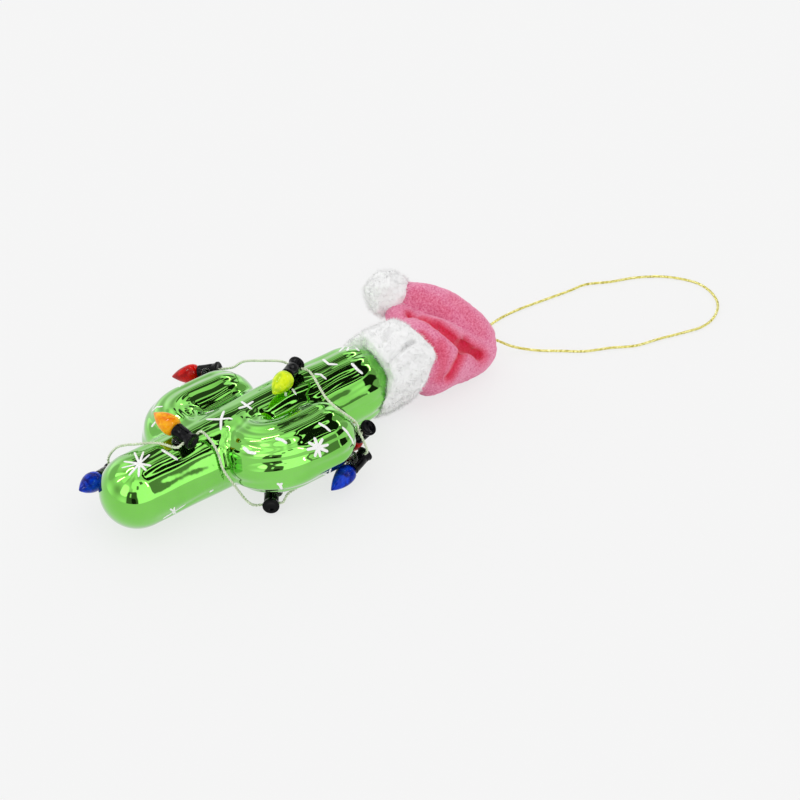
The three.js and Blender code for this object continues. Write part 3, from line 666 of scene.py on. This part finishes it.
# Crosses and dashes of the same kind on the sides that the frame doesn't show: the limb, the distance along
# it, the angle round it in degrees and the number of spokes, where 2 is a dash
UNSEEN_MARKS = [
    (TRUNK, 30, -60, 4), (TRUNK, 52, -115, 3), (TRUNK, 70, -20, 4), (TRUNK, 80, -75, 2), (TRUNK, 12, -30, 3),
    (TRUNK, 42, 20, 2), (FAR_ARM, 33, -40, 4), (FAR_ARM, 24, -120, 2), (NEAR_ARM, 30, -60, 3), (TRUNK, 60, 35, 3),
    (TRUNK, 82, 28, 4),
]
SPOKE_REACH, SPOKE_WIDTH, STROKE_RISE, STROKE_SIDES = 2.6, 0.8, 0.16, 12
RAY_START, WIDEST_GAP = 8, 4


def stroke(places, normals, width):
    """A flat raised brush stroke along places on a surface."""
    fine, _ = centripetal(places, step=0.25)
    along = np.linspace(0, 1, len(fine))
    known = np.linspace(0, 1, len(normals))
    out = unit(np.stack([np.interp(along, known, normals[:, i]) for i in range(3)], 1))
    side = unit(np.cross(out, unit(np.gradient(fine, axis=0))))
    ends = np.sqrt(np.clip(1 - (2 * along - 1) ** 8, 0.02, 1)) * (1.06 - 0.2 * along)
    angle = circle(STROKE_SIDES)
    rings = fine[:, None] + side[:, None] * (np.cos(angle)[:, None] * (width * 0.6 * ends)[:, None, None])
    return skin(rings + out[:, None] * (np.sin(angle)[:, None] * (STROKE_RISE * ends)[:, None, None]))


def tree_of(verts, faces):
    return BVHTree.FromPolygons(verts.tolist(), [f for group in faces for f in group.tolist()])


def hits_on(tree, rays):
    """Places and normals where rays of (origin, direction) meet a surface."""
    found = [tree.ray_cast(Vector(origin), Vector(direction))[:2] for origin, direction in rays]
    found = [hit for hit in found if hit[0] is not None]
    return np.array([place for place, _ in found]), np.array([normal for _, normal in found])


def build_paint():
    tree = tree_of(*glass)
    parts = []

    def add(rays, width):
        places, normals = hits_on(tree, rays)
        if len(places) > 1 and np.linalg.norm(np.diff(places, axis=0), axis=1).max() < WIDEST_GAP:
            parts.append(stroke(places, normals, width))

    for width, *flat in STROKES:
        points = [*zip(flat[::2], flat[1::2])]
        fine = [np.array(a) + (np.array(b) - a) * t
                for a, b in zip(points[:-1], points[1:]) for t in np.linspace(0, 1, 5)[:-1]]
        add([(EYE, sight(*point)) for point in (*fine, points[-1])], width)
    for limb, s, degrees, spokes in UNSEEN_MARKS:
        centre, normal = around(limb, s, degrees, 0)
        start, first = centre + normal * RAY_START, limb.lean @ limb.at(s)[1]
        other = np.cross(normal, first)
        for k in range(spokes if spokes > 2 else 1):
            turn = math.pi * k / spokes + 0.3 * s
            spoke = (first * math.cos(turn) + other * math.sin(turn)) * SPOKE_REACH
            add([(from_glass([start + spoke * t])[0], TURN @ -normal) for t in np.linspace(-1, 1, 7)], SPOKE_WIDTH)
    return joined(parts)


# Lights on the glass: sockets, bulbs, glue, and the wire between them

SOCKET_LENGTH, WIRE_FROM_REAR, PAIR_OFFSET = 8, 1.8, 0.62
# A bulb's colour, where its socket's middle is, the bulb's azimuth and elevation, the wire's direction
# through the socket, the glue's shift to the side and forward, and the bulb's size
LIGHTS = {
    "left": ("blue", around, (TRUNK, -3.1, -1, 4.4), (-152, 13), (0.25, 0.1, 0.95), (1, 1), 1),
    "foot": ("orange", around, (TRUNK, 18.1, 110, 3.4), (100, 15), (1, 0.16, 0.05), (1, 1), 1),
    "elbow": ("green", around, (NEAR_ARM, 17, -100.9, 3.64), (54, 0), (0.85, -0.52, 0), (1, 1), 0.86),
    "right": ("blue", over, (NEAR_ARM, 52, -111.1, 4.6), (-168, -14), (-0.1, -0.71, 0.7), (-1, 1.2), 1),
    "tip": ("red", over, (NEAR_ARM, 17.8, -116, 4.3), (109, -45), (0.95, 0.16, -0.17), (1, 0.6), 1),
    "top": ("yellow", around, (TRUNK, 65.1, 93.6, 3.6), (-150, -2), (-0.48, 0.84, 0.25), (-1, 1), 1),
    "far": ("red", over, (FAR_ARM, 70.1, 16.1, 4.6), (130, -11), (-0.63, 0.75, -0.18), (1, 1), 1),
}


class Light:
    """Where a light lies, in glass coordinates."""

    def __init__(self, name, colour, place, where, aim, wire, glue, size):
        self.name, self.colour, self.gap, self.glue, self.size = name, colour, where[3], glue, size
        self.centre, self.normal = place(*where)
        self.aim = heading(*aim)
        self.rear = self.centre - self.aim * SOCKET_LENGTH / 2
        self.crossing = self.rear + self.aim * WIRE_FROM_REAR
        wire = np.array(wire)
        if name != "far":  # its wire leaves along the socket, the others' across it
            wire = wire - self.aim * (wire @ self.aim)
        self.wire = unit(wire)
        self.lateral = unit(np.cross(self.normal, self.aim))

    def through(self, after=5.2):
        """Points of a wire that runs through the socket."""
        return [self.crossing + self.wire * d for d in (-5.2, -3, 3, after)]

    def pair(self, sign):
        """Points of one of two wires that end side by side in the socket."""
        across = unit(np.cross(self.wire, self.aim))
        end = self.crossing + across * sign * PAIR_OFFSET
        return [end + self.wire * d for d in (0, -2, -3.3, -3.9)]


lights = {name: Light(name, *facts) for name, facts in LIGHTS.items()}
make("painted_marks", build_paint(), PAINT, "glass")

# Profiles as (radius, distance along the axis), from the socket's rear and from its rim
SOCKET_PROFILE = [
    (0.01, 0.35), (1.2, 0.32), (1.5, 0.12), (2.3, 0), (2.72, 0.05), (2.88, 0.2), (2.9, 0.45), (2.9, 0.75),
    (2.82, 0.92), (2.6, 1.02), (2.5, 1.15), (2.48, 2.2), (2.4, 2.3), (2.4, 2.5), (2.49, 2.6), (2.52, 5.2),
    (2.55, 7.4), (2.6, 7.5), (2.6, 7.9), (2.5, 8), (1.95, 8), (1.8, 7.8), (1.78, 3.6), (0.01, 3.5),
]
BULB_PROFILE = [
    (0.01, -4), (1.3, -4), (1.35, -0.2), (1.9, 0.05), (2.6, 0.45), (3.1, 1), (3.4, 1.8), (3.5, 2.7), (3.46, 3.6),
    (3.3, 4.6), (3, 5.7), (2.6, 6.8), (2.15, 7.8), (1.65, 8.7), (1.15, 9.5), (0.7, 10.2), (0.32, 10.7), (0.06, 10.95),
]


def build_light(light):
    tag = light.name
    make("lamp_socket_" + tag, turned(SOCKET_PROFILE, light.rear, light.aim), SOCKET, "socket", "socket_" + tag)
    phase = random.uniform(0, 6)

    def wobble(angle, along):
        return 0.022 * np.sin(3 * angle + phase + 0.5 * along) * smooth(0.5, 3, along)

    sizes = [light.size if along > 0 else 1 for _, along in BULB_PROFILE]
    profile = [(radius * size, along * size) for (radius, along), size in zip(BULB_PROFILE, sizes)]
    rim = light.rear + light.aim * (SOCKET_LENGTH + 0.3)
    bulb = turned(profile, rim, light.aim, segments=36, wobble=wobble)
    make("lamp_bulb_" + tag, bulb, BULBS[light.colour], "bulb_" + light.colour, "bulb_" + tag)
    side, forward = light.glue
    middle = light.centre - light.normal * light.gap * 0.72 + light.lateral * side * 2.08 + light.aim * forward
    axes = np.array([light.lateral, light.aim, np.cross(light.lateral, light.aim)])
    angle = circle(26)
    rings = []
    for polar in np.linspace(0.08, math.pi - 0.08, 14)[::-1]:
        lump = 1 + 0.07 * np.sin(2 * angle + phase) * np.sin(polar) + 0.05 * np.sin(3 * polar + phase)
        rings.append(middle + (parallel(polar, angle) * lump[:, None] * (2.1, 2.3, 1.0 + light.gap * 0.33)) @ axes)
    make("glue_blob_" + tag, skin(from_glass(rings)), GLUE, "glue", "glue_" + tag)


for each in lights.values():
    build_light(each)

WIRE_STRANDS = {"radius": 0.265, "offset": 0.24, "pitch": 2.3, "strands": 2}
left, far = lights["left"], lights["far"]
wire_low = [
    *(left.crossing + left.wire * d for d in (0, 3, 5)),
    *route(around, TRUNK, (1.2, 38, 3.6), (2.8, 56, 2.4), (5.2, 70, 1.5), (8.4, 82, 1), (11, 95, 1)),
    *lights["foot"].through(), *route(around, TRUNK, (25.5, 130.8, 1.5)),
    *route(around, NEAR_ARM, (12.5, 155.8, 3.3), (13.1, 174.1, 2.4), (13.6, 199.1, 1.4), (13.7, 223.2, 2.5),
           (15.2, 228, 4.2)),
    *lights["elbow"].through(3.9),
    *route(around, NEAR_ARM, (21.6, -103, 1.7), (24.5, -96, 1), (29, -92, 1), (35.6, -88, 1.1)),
    *route(over, NEAR_ARM, (70, -86, 1.9)), *lights["right"].through(),
    *route(over, NEAR_ARM, (40, -160, 2.4), (34, -171.5, 1.3), (27, -164, 1.1)), *reversed(lights["tip"].pair(-1)),
]
wire_high = [
    *lights["tip"].pair(1),
    *route(over, NEAR_ARM, (31, 168, 1), (37.5, 152, 0.95), (59.4, 128.4, 0.95), (69.4, 113.9, 1.5), (71, 94.9, 2.2)),
    *lights["top"].through(), (62.2, 11.5, 17.6), (59.4, 22, 14.2),
    *(far.rear + far.aim * d for d in (-5, -2, 1.2)),
]
for name, points, cad_node in (("wire_low", wire_low, "light_wire_lower"),
                               ("wire_high", wire_high, "light_wire_upper")):
    make(name, twisted(*centripetal(from_glass(points), step=0.24), **WIRE_STRANDS), WIRE, "wire", cad_node)

# Hat: a felt cone with its tip folded back, a fleece brim and a pompom


def axis_height(x):
    """How high the trunk's axis lies over the floor."""
    return (from_glass([(x, 0, 0)])[0] - LAY)[2]


# The felt's four parts: stations along each one's middle line, in floor coordinates, with its radius there
CONE = [
    *((x, y, axis_height(x), radius) for x, y, radius in ((103, 0, 12), (108, 0, 12.2), (115.5, -0.3, 13.6))),
    (121.5, -1.5, 15.2, 15), (124.5, -2.2, 14.3, 14.2), (128, -2.6, 13, 12.8), (132, -3, 11.6, 11.4),
    (136.1, -3.6, 10.4, 10.2), (140.1, -3.8, 9.6, 9.3), (144.1, -3, 9.4, 8.3), (147.6, -1.6, 9.4, 6.9),
    (150.1, -1, 9.6, 4.6), (151.1, -0.8, 9.7, 1.5),
]
TIP = [
    (144.6, -3.2, 8.6, 4.8), (145.9, -4.7, 12, 5.2), (144.7, -2.8, 15, 6), (142.3, -0.3, 18.2, 6.6),
    (139.9, 4.3, 21, 6.9), (137.4, 9.5, 22.8, 7), (134.4, 14, 24.2, 6.9), (130.7, 17.8, 25, 6.7),
    (127.4, 21.4, 25.6, 6.2), (125.5, 23.6, 26.2, 5),
]
WEB = [
    (120.5, 7, 20.5, 4), (124, 9.5, 20.5, 5), (128, 9.5, 19.3, 5.6), (133, 7, 17, 5.6), (138, 3.5, 14, 5),
    (142, 0, 11.5, 4),
]
UNDER = [(121, 9, 21.5, 5), (122, 13, 22.3, 5.3), (122.8, 17, 22.8, 5.2), (124.8, 20.5, 24.2, 4.8)]
# Creases as seen in the frame, with their depth and width in millimetres; along each one shade is also painted into the
# felt
FELT_FOLDS = [
    ([(410, 314), (418, 316), (430, 320), (445, 330), (460, 343), (470, 349), (480, 356)], 2.2, 1.5),
    ([(438, 325), (450, 334), (462, 344), (472, 350), (480, 355)], 1.4, 2.2),
    ([(466, 342), (463, 352), (457, 366), (451, 378)], 1.7, 1.9),
    ([(422, 333), (430, 341), (436, 349), (439, 358)], 0.8, 1.2),
    ([(441, 345), (444, 360), (441, 378)], 0.7, 2.2),
    ([(455, 300), (470, 316), (481, 330)], 0.35, 2.5),
    ([(415, 296), (432, 300), (447, 311)], 0.35, 2.2),
]
BRIM_FOLDS = [
    ([(421, 334), (414, 340), (408, 344), (400, 352), (393, 359), (387, 366)], 1.5, 1),
    ([(419, 356), (410, 362), (402, 369)], 0.8, 1.3),
    ([(392, 330), (384, 338), (378, 347)], 0.7, 1.3),
    ([(430, 372), (418, 383), (404, 392)], 0.6, 1.6),
]
POMPOM, POMPOM_RADIUS = from_floor((124, 24.6, 26.7)), 8.4


def soft_body(stations):
    stations = np.array(stations, float)
    line, _ = centripetal(stations[:, :3], step=1.0)
    along = np.linspace(0, 1, len(line))
    chord = np.concatenate([[0], np.cumsum(np.linalg.norm(np.diff(stations[:, :3], axis=0), axis=1))])
    radius = np.interp(along, chord / chord[-1], stations[:, 3])
    tangents = unit(np.gradient(line, axis=0))
    return skin([ring(*section) for section in zip(line, tangents, radius)])


def vertex_normals(verts, faces):
    normals = np.zeros_like(verts)
    for f in faces:
        a, b, c = verts[f[:, 0]], verts[f[:, 1]], verts[f[:, 2]]
        n = np.cross(b - a, c - a)
        if f.shape[1] == 4:
            n = n + np.cross(c - a, verts[f[:, 3]] - a)
        for k in range(f.shape[1]):
            np.add.at(normals, f[:, k], n)
    return unit(normals + 1e-12)


def triangles(faces):
    return np.concatenate([f[:, :3] for f in faces] + [f[:, [0, 2, 3]] for f in faces if f.shape[1] == 4])


def outward(verts, faces):
    """The same faces, wound so that the inside is behind them, by the sign of their volume."""
    a, b, c = verts[triangles(faces)].transpose(1, 0, 2)
    return faces if (a * np.cross(b, c)).sum() > 0 else [f[:, ::-1] for f in faces]


def near_line(verts, line):
    """Distance from each vertex to a polyline."""
    best = np.full(len(verts), 1e9)
    for a, b in zip(line[:-1], line[1:]):
        d = b - a
        t = np.clip((verts - a) @ d / (d @ d), 0, 1)
        best = np.minimum(best, np.linalg.norm(verts - a - t[:, None] * d, axis=1))
    return best


def creased(verts, faces, pixels, depth, width):
    """A surface pressed in along a line seen in the frame, and each vertex's distance from that line."""
    line, _ = hits_on(tree_of(verts, faces), [(EYE, sight(*pixel)) for pixel in pixels])
    away = near_line(verts, line)
    return verts - vertex_normals(verts, faces) * (depth * np.exp(-(away / width) ** 2))[:, None], away


def ripple(verts, amount, size, seed):
    """Soft waves of about one size over a surface, as offsets."""
    rng = np.random.default_rng(seed)
    total = np.zeros(len(verts))
    for _ in range(14):
        wave = unit(rng.normal(size=3)) * 2 * math.pi / (size * rng.uniform(0.7, 1.5))
        total += np.sin(verts @ wave + rng.uniform(0, 6.3))
    return amount * total / 3.7


def rumpled(verts, faces, lowest, *waves):
    """A shape with ripples of (amount, size, seed), kept above a height."""
    verts = verts + vertex_normals(verts, faces) * sum(ripple(verts, *wave) for wave in waves)[:, None]
    verts[:, 2] = np.maximum(verts[:, 2], lowest)
    return verts, faces


def build_felt():
    """The felt's mesh, and how much painted shade each vertex gets in a fold, from 0 to 1."""
    verts, faces = voxelised([soft_body(part) for part in (CONE, TIP, WEB, UNDER)], size=0.42, relax=4)
    verts = from_floor(verts)
    fold_shade = np.zeros(len(verts))
    for pixels, depth, width in FELT_FOLDS:
        verts, away = creased(verts, faces, pixels, depth, width)
        # Painted shade in the folds: strongest along deep creases, fading off to their sides
        fold_shade = np.maximum(fold_shade, min(1, depth / 1.2) * np.exp(-(away / (width * 1.5)) ** 2))
    return rumpled(verts, faces, 0.15, (0.28, 8, 3), (0.06, 1.8, 4)), fold_shade


felt_shape, felt_fold_shade = build_felt()
felt = make("felt_cone", felt_shape, FELT, "felt", "hat_cone")
# The mask of painted fold shade, read by the felt's material
felt.data.attributes.new(FOLD_SHADE, "FLOAT", "POINT").data.foreach_set("value", felt_fold_shade.astype(np.float32))


def fur(verts, faces, count, length, width, lean, seed, lowest_root=0.0):
    """Short tapering hairs: three sides, a bend halfway and a point."""
    rng = np.random.default_rng(seed)
    a, b, c = verts[triangles(faces)].transpose(1, 0, 2)
    cross = np.cross(b - a, c - a)
    area = np.linalg.norm(cross, axis=1)
    pick = rng.choice(len(area), count, p=area / area.sum())
    u, v = rng.random((2, count))
    flip = u + v > 1
    u, v = np.where(flip, 1 - u, u), np.where(flip, 1 - v, v)
    root = a[pick] + (b - a)[pick] * u[:, None] + (c - a)[pick] * v[:, None]
    normal = unit(cross[pick] + 1e-12)
    chosen = root[:, 2] > lowest_root
    root, normal = root[chosen], normal[chosen]
    n = len(root)
    half = (length * rng.uniform(0.55, 1.25, n) * 0.5)[:, None]
    first = unit(normal + lean * rng.normal(size=(n, 3)))
    second = unit(first + lean * 1.1 * rng.normal(size=(n, 3)))
    side = unit(np.cross(first, rng.normal(size=(n, 3))))
    other = np.cross(first, side)
    rings = []
    for place, thick in ((root - normal * 0.15, 1.0), (root + first * half, 0.75)):
        for k in range(3):
            turn = 2 * math.pi * k / 3
            rings.append(place + width * thick * (side * math.cos(turn) + other * math.sin(turn)))
    points = np.stack([*rings, root + first * half + second * half], 1).reshape(-1, 3)
    points[:, 2] = np.maximum(points[:, 2], 0.05)
    base = np.arange(n)[:, None] * 7
    quads = np.concatenate([base + [k, (k + 1) % 3, 3 + (k + 1) % 3, 3 + k] for k in range(3)])
    ends = np.concatenate([base + [3 + k, 3 + (k + 1) % 3, 6] for k in range(3)])
    feet = base + [0, 2, 1]
    return points, [quads, ends, feet]


# Where the brim's two edges lie along the trunk, by the angle round it in degrees
BRIM_FRONT = [
    (0, 94.8), (40, 97.6), (66, 98.6), (84, 98), (99, 97), (123, 96.3), (142, 96.9), (156, 97), (174, 95),
    (190, 92.7), (202, 91.2), (235, 92), (270, 93), (320, 94.3), (360, 94.8),
]
BRIM_BACK = [
    (0, 112.5), (30, 113), (61, 114.3), (87, 114.2), (103, 114.7), (117, 114.9), (133, 116.2), (147, 116.9),
    (160, 117), (168, 115.4), (182, 113), (202, 111.6), (219, 109.4), (270, 109), (320, 111), (360, 112.5),
]
# The brim's section: the share of the way from the front edge to the back one, and the radius
BRIM_SECTION = [
    (0.05, 12.6), (0.008, 13.4), (0, 14.2), (0.03, 15), (0.1, 15.5), (0.24, 15.8), (0.45, 15.65), (0.68, 15.9),
    (0.85, 15.8), (0.95, 15.3), (1, 14.3), (0.99, 13.5), (0.75, 12.9), (0.45, 12.4), (0.15, 12.4),
]
BRIM_SIDES = 132


def build_brim():
    rings = []
    for a in circle(BRIM_SIDES):
        front, back = (np.interp(math.degrees(a), *zip(*edge)) for edge in (BRIM_FRONT, BRIM_BACK))
        swell = -2.0 * math.exp(-((math.degrees(a) - 230) / 34) ** 2)
        swell = swell + 0.3 * math.sin(3 * a + 1) + 0.22 * math.sin(5 * a)
        section = [(front + (back - front) * u, r + (swell if r > 14 else 0)) for u, r in BRIM_SECTION]
        # The front lip follows the glass
        section[:3] = [(front + x, head_radius(front + x) + gap) for x, gap in ((1.6, -0.2), (0.3, 0.15), (0, 1.1))]
        rings.append([(x, r * math.cos(a), r * math.sin(a)) for x, r in section])
    verts, faces = voxelised([skin(rings, closed=True)], size=0.5, relax=4)
    verts = from_glass(verts)
    for pixels, depth, width in BRIM_FOLDS:
        verts, _ = creased(verts, faces, pixels, depth, width)
    verts, faces = rumpled(verts, faces, 0.12, (0.3, 7, 8), (0.05, 2.4, 12))
    return verts, outward(verts - verts.mean(0), faces)


brim = build_brim()
hairs = fur(*brim, count=11000, length=1.4, width=0.06, lean=0.6, seed=5, lowest_root=0.8)
make("fleece_brim", joined([brim, hairs]), FLEECE, "fleece", "hat_brim")


def build_pompom():
    angle = circle(120)
    rings = []
    for polar in np.linspace(0.03, math.pi - 0.03, 70):
        lump = POMPOM_RADIUS + 0.25 * np.sin(3 * angle + 5 * polar) + 0.2 * np.sin(5 * angle - 2 * polar)
        rings.append(POMPOM + parallel(polar, angle) * lump[:, None])
    verts, faces = skin(rings)
    return rumpled(verts, outward(verts - POMPOM, faces), 0.1, (0.12, 2.4, 31), (0.2, 5, 32))


pompom = build_pompom()
hairs = fur(*pompom, count=2600, length=1.8, width=0.065, lean=0.5, seed=9)
make("fleece_pompom", joined([pompom, hairs]), FLEECE, "fleece", "hat_pompom")

# Pieces under the hat show their own solids

for name in ("ornament_cap", "spring_loop", "cord_strand_a", "cord_strand_b", "cord_eye", "cord_knot"):
    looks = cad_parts[name].data.materials
    looks.clear()
    looks.append(GOLD if name.startswith("cord") else STEEL)

# Floor, world and the studio that the glass mirrors

BACKGROUND = 0.905
FLOOR_REACH, FLOOR_GLOW, STUDIO_LEVEL = 6000, 0.8, 0.92
# The studio's panels, painted over each other in this order: the centre's azimuth from straight ahead of the
# camera and its elevation, half the width and height, the edge's softness, all in degrees, and the brightness
PANELS = [
    (155, 30, 35, 40, 6, 1.6), (148, 62, 9, 5, 1.5, 0.25), (170, 48, 5, 7, 1.5, 0.3),
    (-143, 34, 13, 16, 4, 2.3), (-172, 55, 10, 10, 4, 1.6), (-171, 14, 17, 21, 4, 0.14),
    (-176, 8, 6, 8, 2, 0.02), (-166, 24, 2.5, 6, 1, 1.2), (-112, 62, 16, 14, 4, 1.5),
    (-75, 48, 5, 16, 2, 2.2), (-60, 22, 20, 10, 6, 0.7), (40, 80, 70, 9, 3, 1.35),
    (66, 20, 22, 20, 6, 0.5), (68, 55.5, 42, 15, 3, 0.012), (75, 66, 20, 1.2, 0.6, 1.6),
    (98, 50, 1.6, 8, 0.6, 1.4), (4, 53, 18, 6.5, 1.5, 0.07), (8, 53, 5, 1.6, 1, 0.5),
    (-8, 40, 8, 3.5, 1.5, 0.1), (14, 25, 14, 5, 2, 0.06), (97, 14, 13, 16, 3, 0.02),
    (118, 18, 3, 26, 1, 0.3), (126, 45, 1.6, 14, 0.6, 14), (40, 37, 24, 1.1, 0.5, 8),
    (-45, 62, 24, 1.3, 0.5, 18), (-100, 48, 1.5, 12, 0.6, 16),
]


def ray_kinds(tree):
    """1 for a camera ray, and 1 for one that a mirror or clear glue sends."""
    path = node(tree, "ShaderNodeLightPath")
    return (path.outputs["Is Camera Ray"],
            maths(tree, "MAXIMUM", path.outputs["Is Glossy Ray"], path.outputs["Is Transmission Ray"]))


def build_floor():
    """White paper, which glows towards the camera and in mirrors and still shows its shadows."""
    corners = np.array([(-1, -1, 0), (1, -1, 0), (1, 1, 0), (-1, 1, 0)]) * FLOOR_REACH
    floor = placed("floor", mesh_of("floor", corners, [np.array([(0, 1, 2, 3)])]))
    mat, tree, shader = material("floor_paper", Roughness=1.0, Base_Color=(0.96, 0.96, 0.96, 1), Specular_IOR_Level=0.0)
    glow = output(tree, "ShaderNodeEmission", (BACKGROUND, BACKGROUND, BACKGROUND, 1))
    share = maths(tree, "MULTIPLY", maths(tree, "MAXIMUM", *ray_kinds(tree)), FLOOR_GLOW)
    feed(tree, output(tree, "ShaderNodeMixShader", share, shader.outputs[0], glow),
         tree.nodes["Material Output"].inputs["Surface"])
    floor.data.materials.append(mat)


def build_world():
    """A plain light for the object, the background for the camera and the panels for mirrors."""
    world = bpy.data.worlds.new("studio")
    bpy.context.scene.world = world
    world.use_nodes = True
    tree = world.node_tree
    tree.nodes.clear()
    direction = node(tree, "ShaderNodeTexCoord").outputs["Generated"]

    def sums(operation, *values):
        return maths(tree, operation, *values)

    def along(axis):
        made = node(tree, "ShaderNodeVectorMath", operation="DOT_PRODUCT")
        feed(tree, direction, made.inputs[0])
        feed(tree, tuple(axis), made.inputs[1])
        return made.outputs["Value"]

    azimuth = sums("ARCTAN2", along(RIGHT), along(unit((FORWARD[0], FORWARD[1], 0))))
    elevation = sums("ARCSINE", along((0, 0, 1)))

    def panel(across, up, half_width, half_height, edge):
        """1 inside a rounded window of the sky and 0 outside it."""
        sideways = sums("WRAP", sums("SUBTRACT", azimuth, radians(across)), math.pi, -math.pi)
        upwards = sums("SUBTRACT", elevation, radians(up))
        reach = [sums("MAXIMUM", sums("SUBTRACT", sums("ABSOLUTE", v), radians(max(h - edge * 2, 0))), 0.0)
                 for v, h in ((sideways, half_width), (upwards, half_height))]
        away = sums("SQRT", sums("ADD", *(sums("MULTIPLY", r, r) for r in reach)))
        return output(tree, "ShaderNodeMapRange", away, radians(edge * 2.4), radians(edge * 1.6), 0.0, 1.0,
                      interpolation_type="SMOOTHSTEP")

    studio = sums("MULTIPLY_ADD", sums("SINE", elevation), 0.12, STUDIO_LEVEL)
    for source, rate, start, amount in ((azimuth, 7, 0.4, 0.2), (elevation, 9, 0.9, 0.2)):
        studio = sums("MULTIPLY_ADD", sums("SINE", sums("MULTIPLY_ADD", source, rate, start)), amount, studio)
    for *window, brightness in PANELS:
        studio = mixed(tree, "FLOAT", panel(*window), studio, brightness)
    lit = sums("MULTIPLY_ADD", along(-RIGHT * 0.8 + np.array([0.2, 0.25, 0])), 0.16, 1.0)
    camera_ray, mirrored = ray_kinds(tree)
    shown = mixed(tree, "FLOAT", camera_ray, mixed(tree, "FLOAT", mirrored, lit, studio), BACKGROUND)
    sky = output(tree, "ShaderNodeBackground", shown)
    feed(tree, sky, node(tree, "ShaderNodeOutputWorld").inputs["Surface"])


build_floor()
build_world()
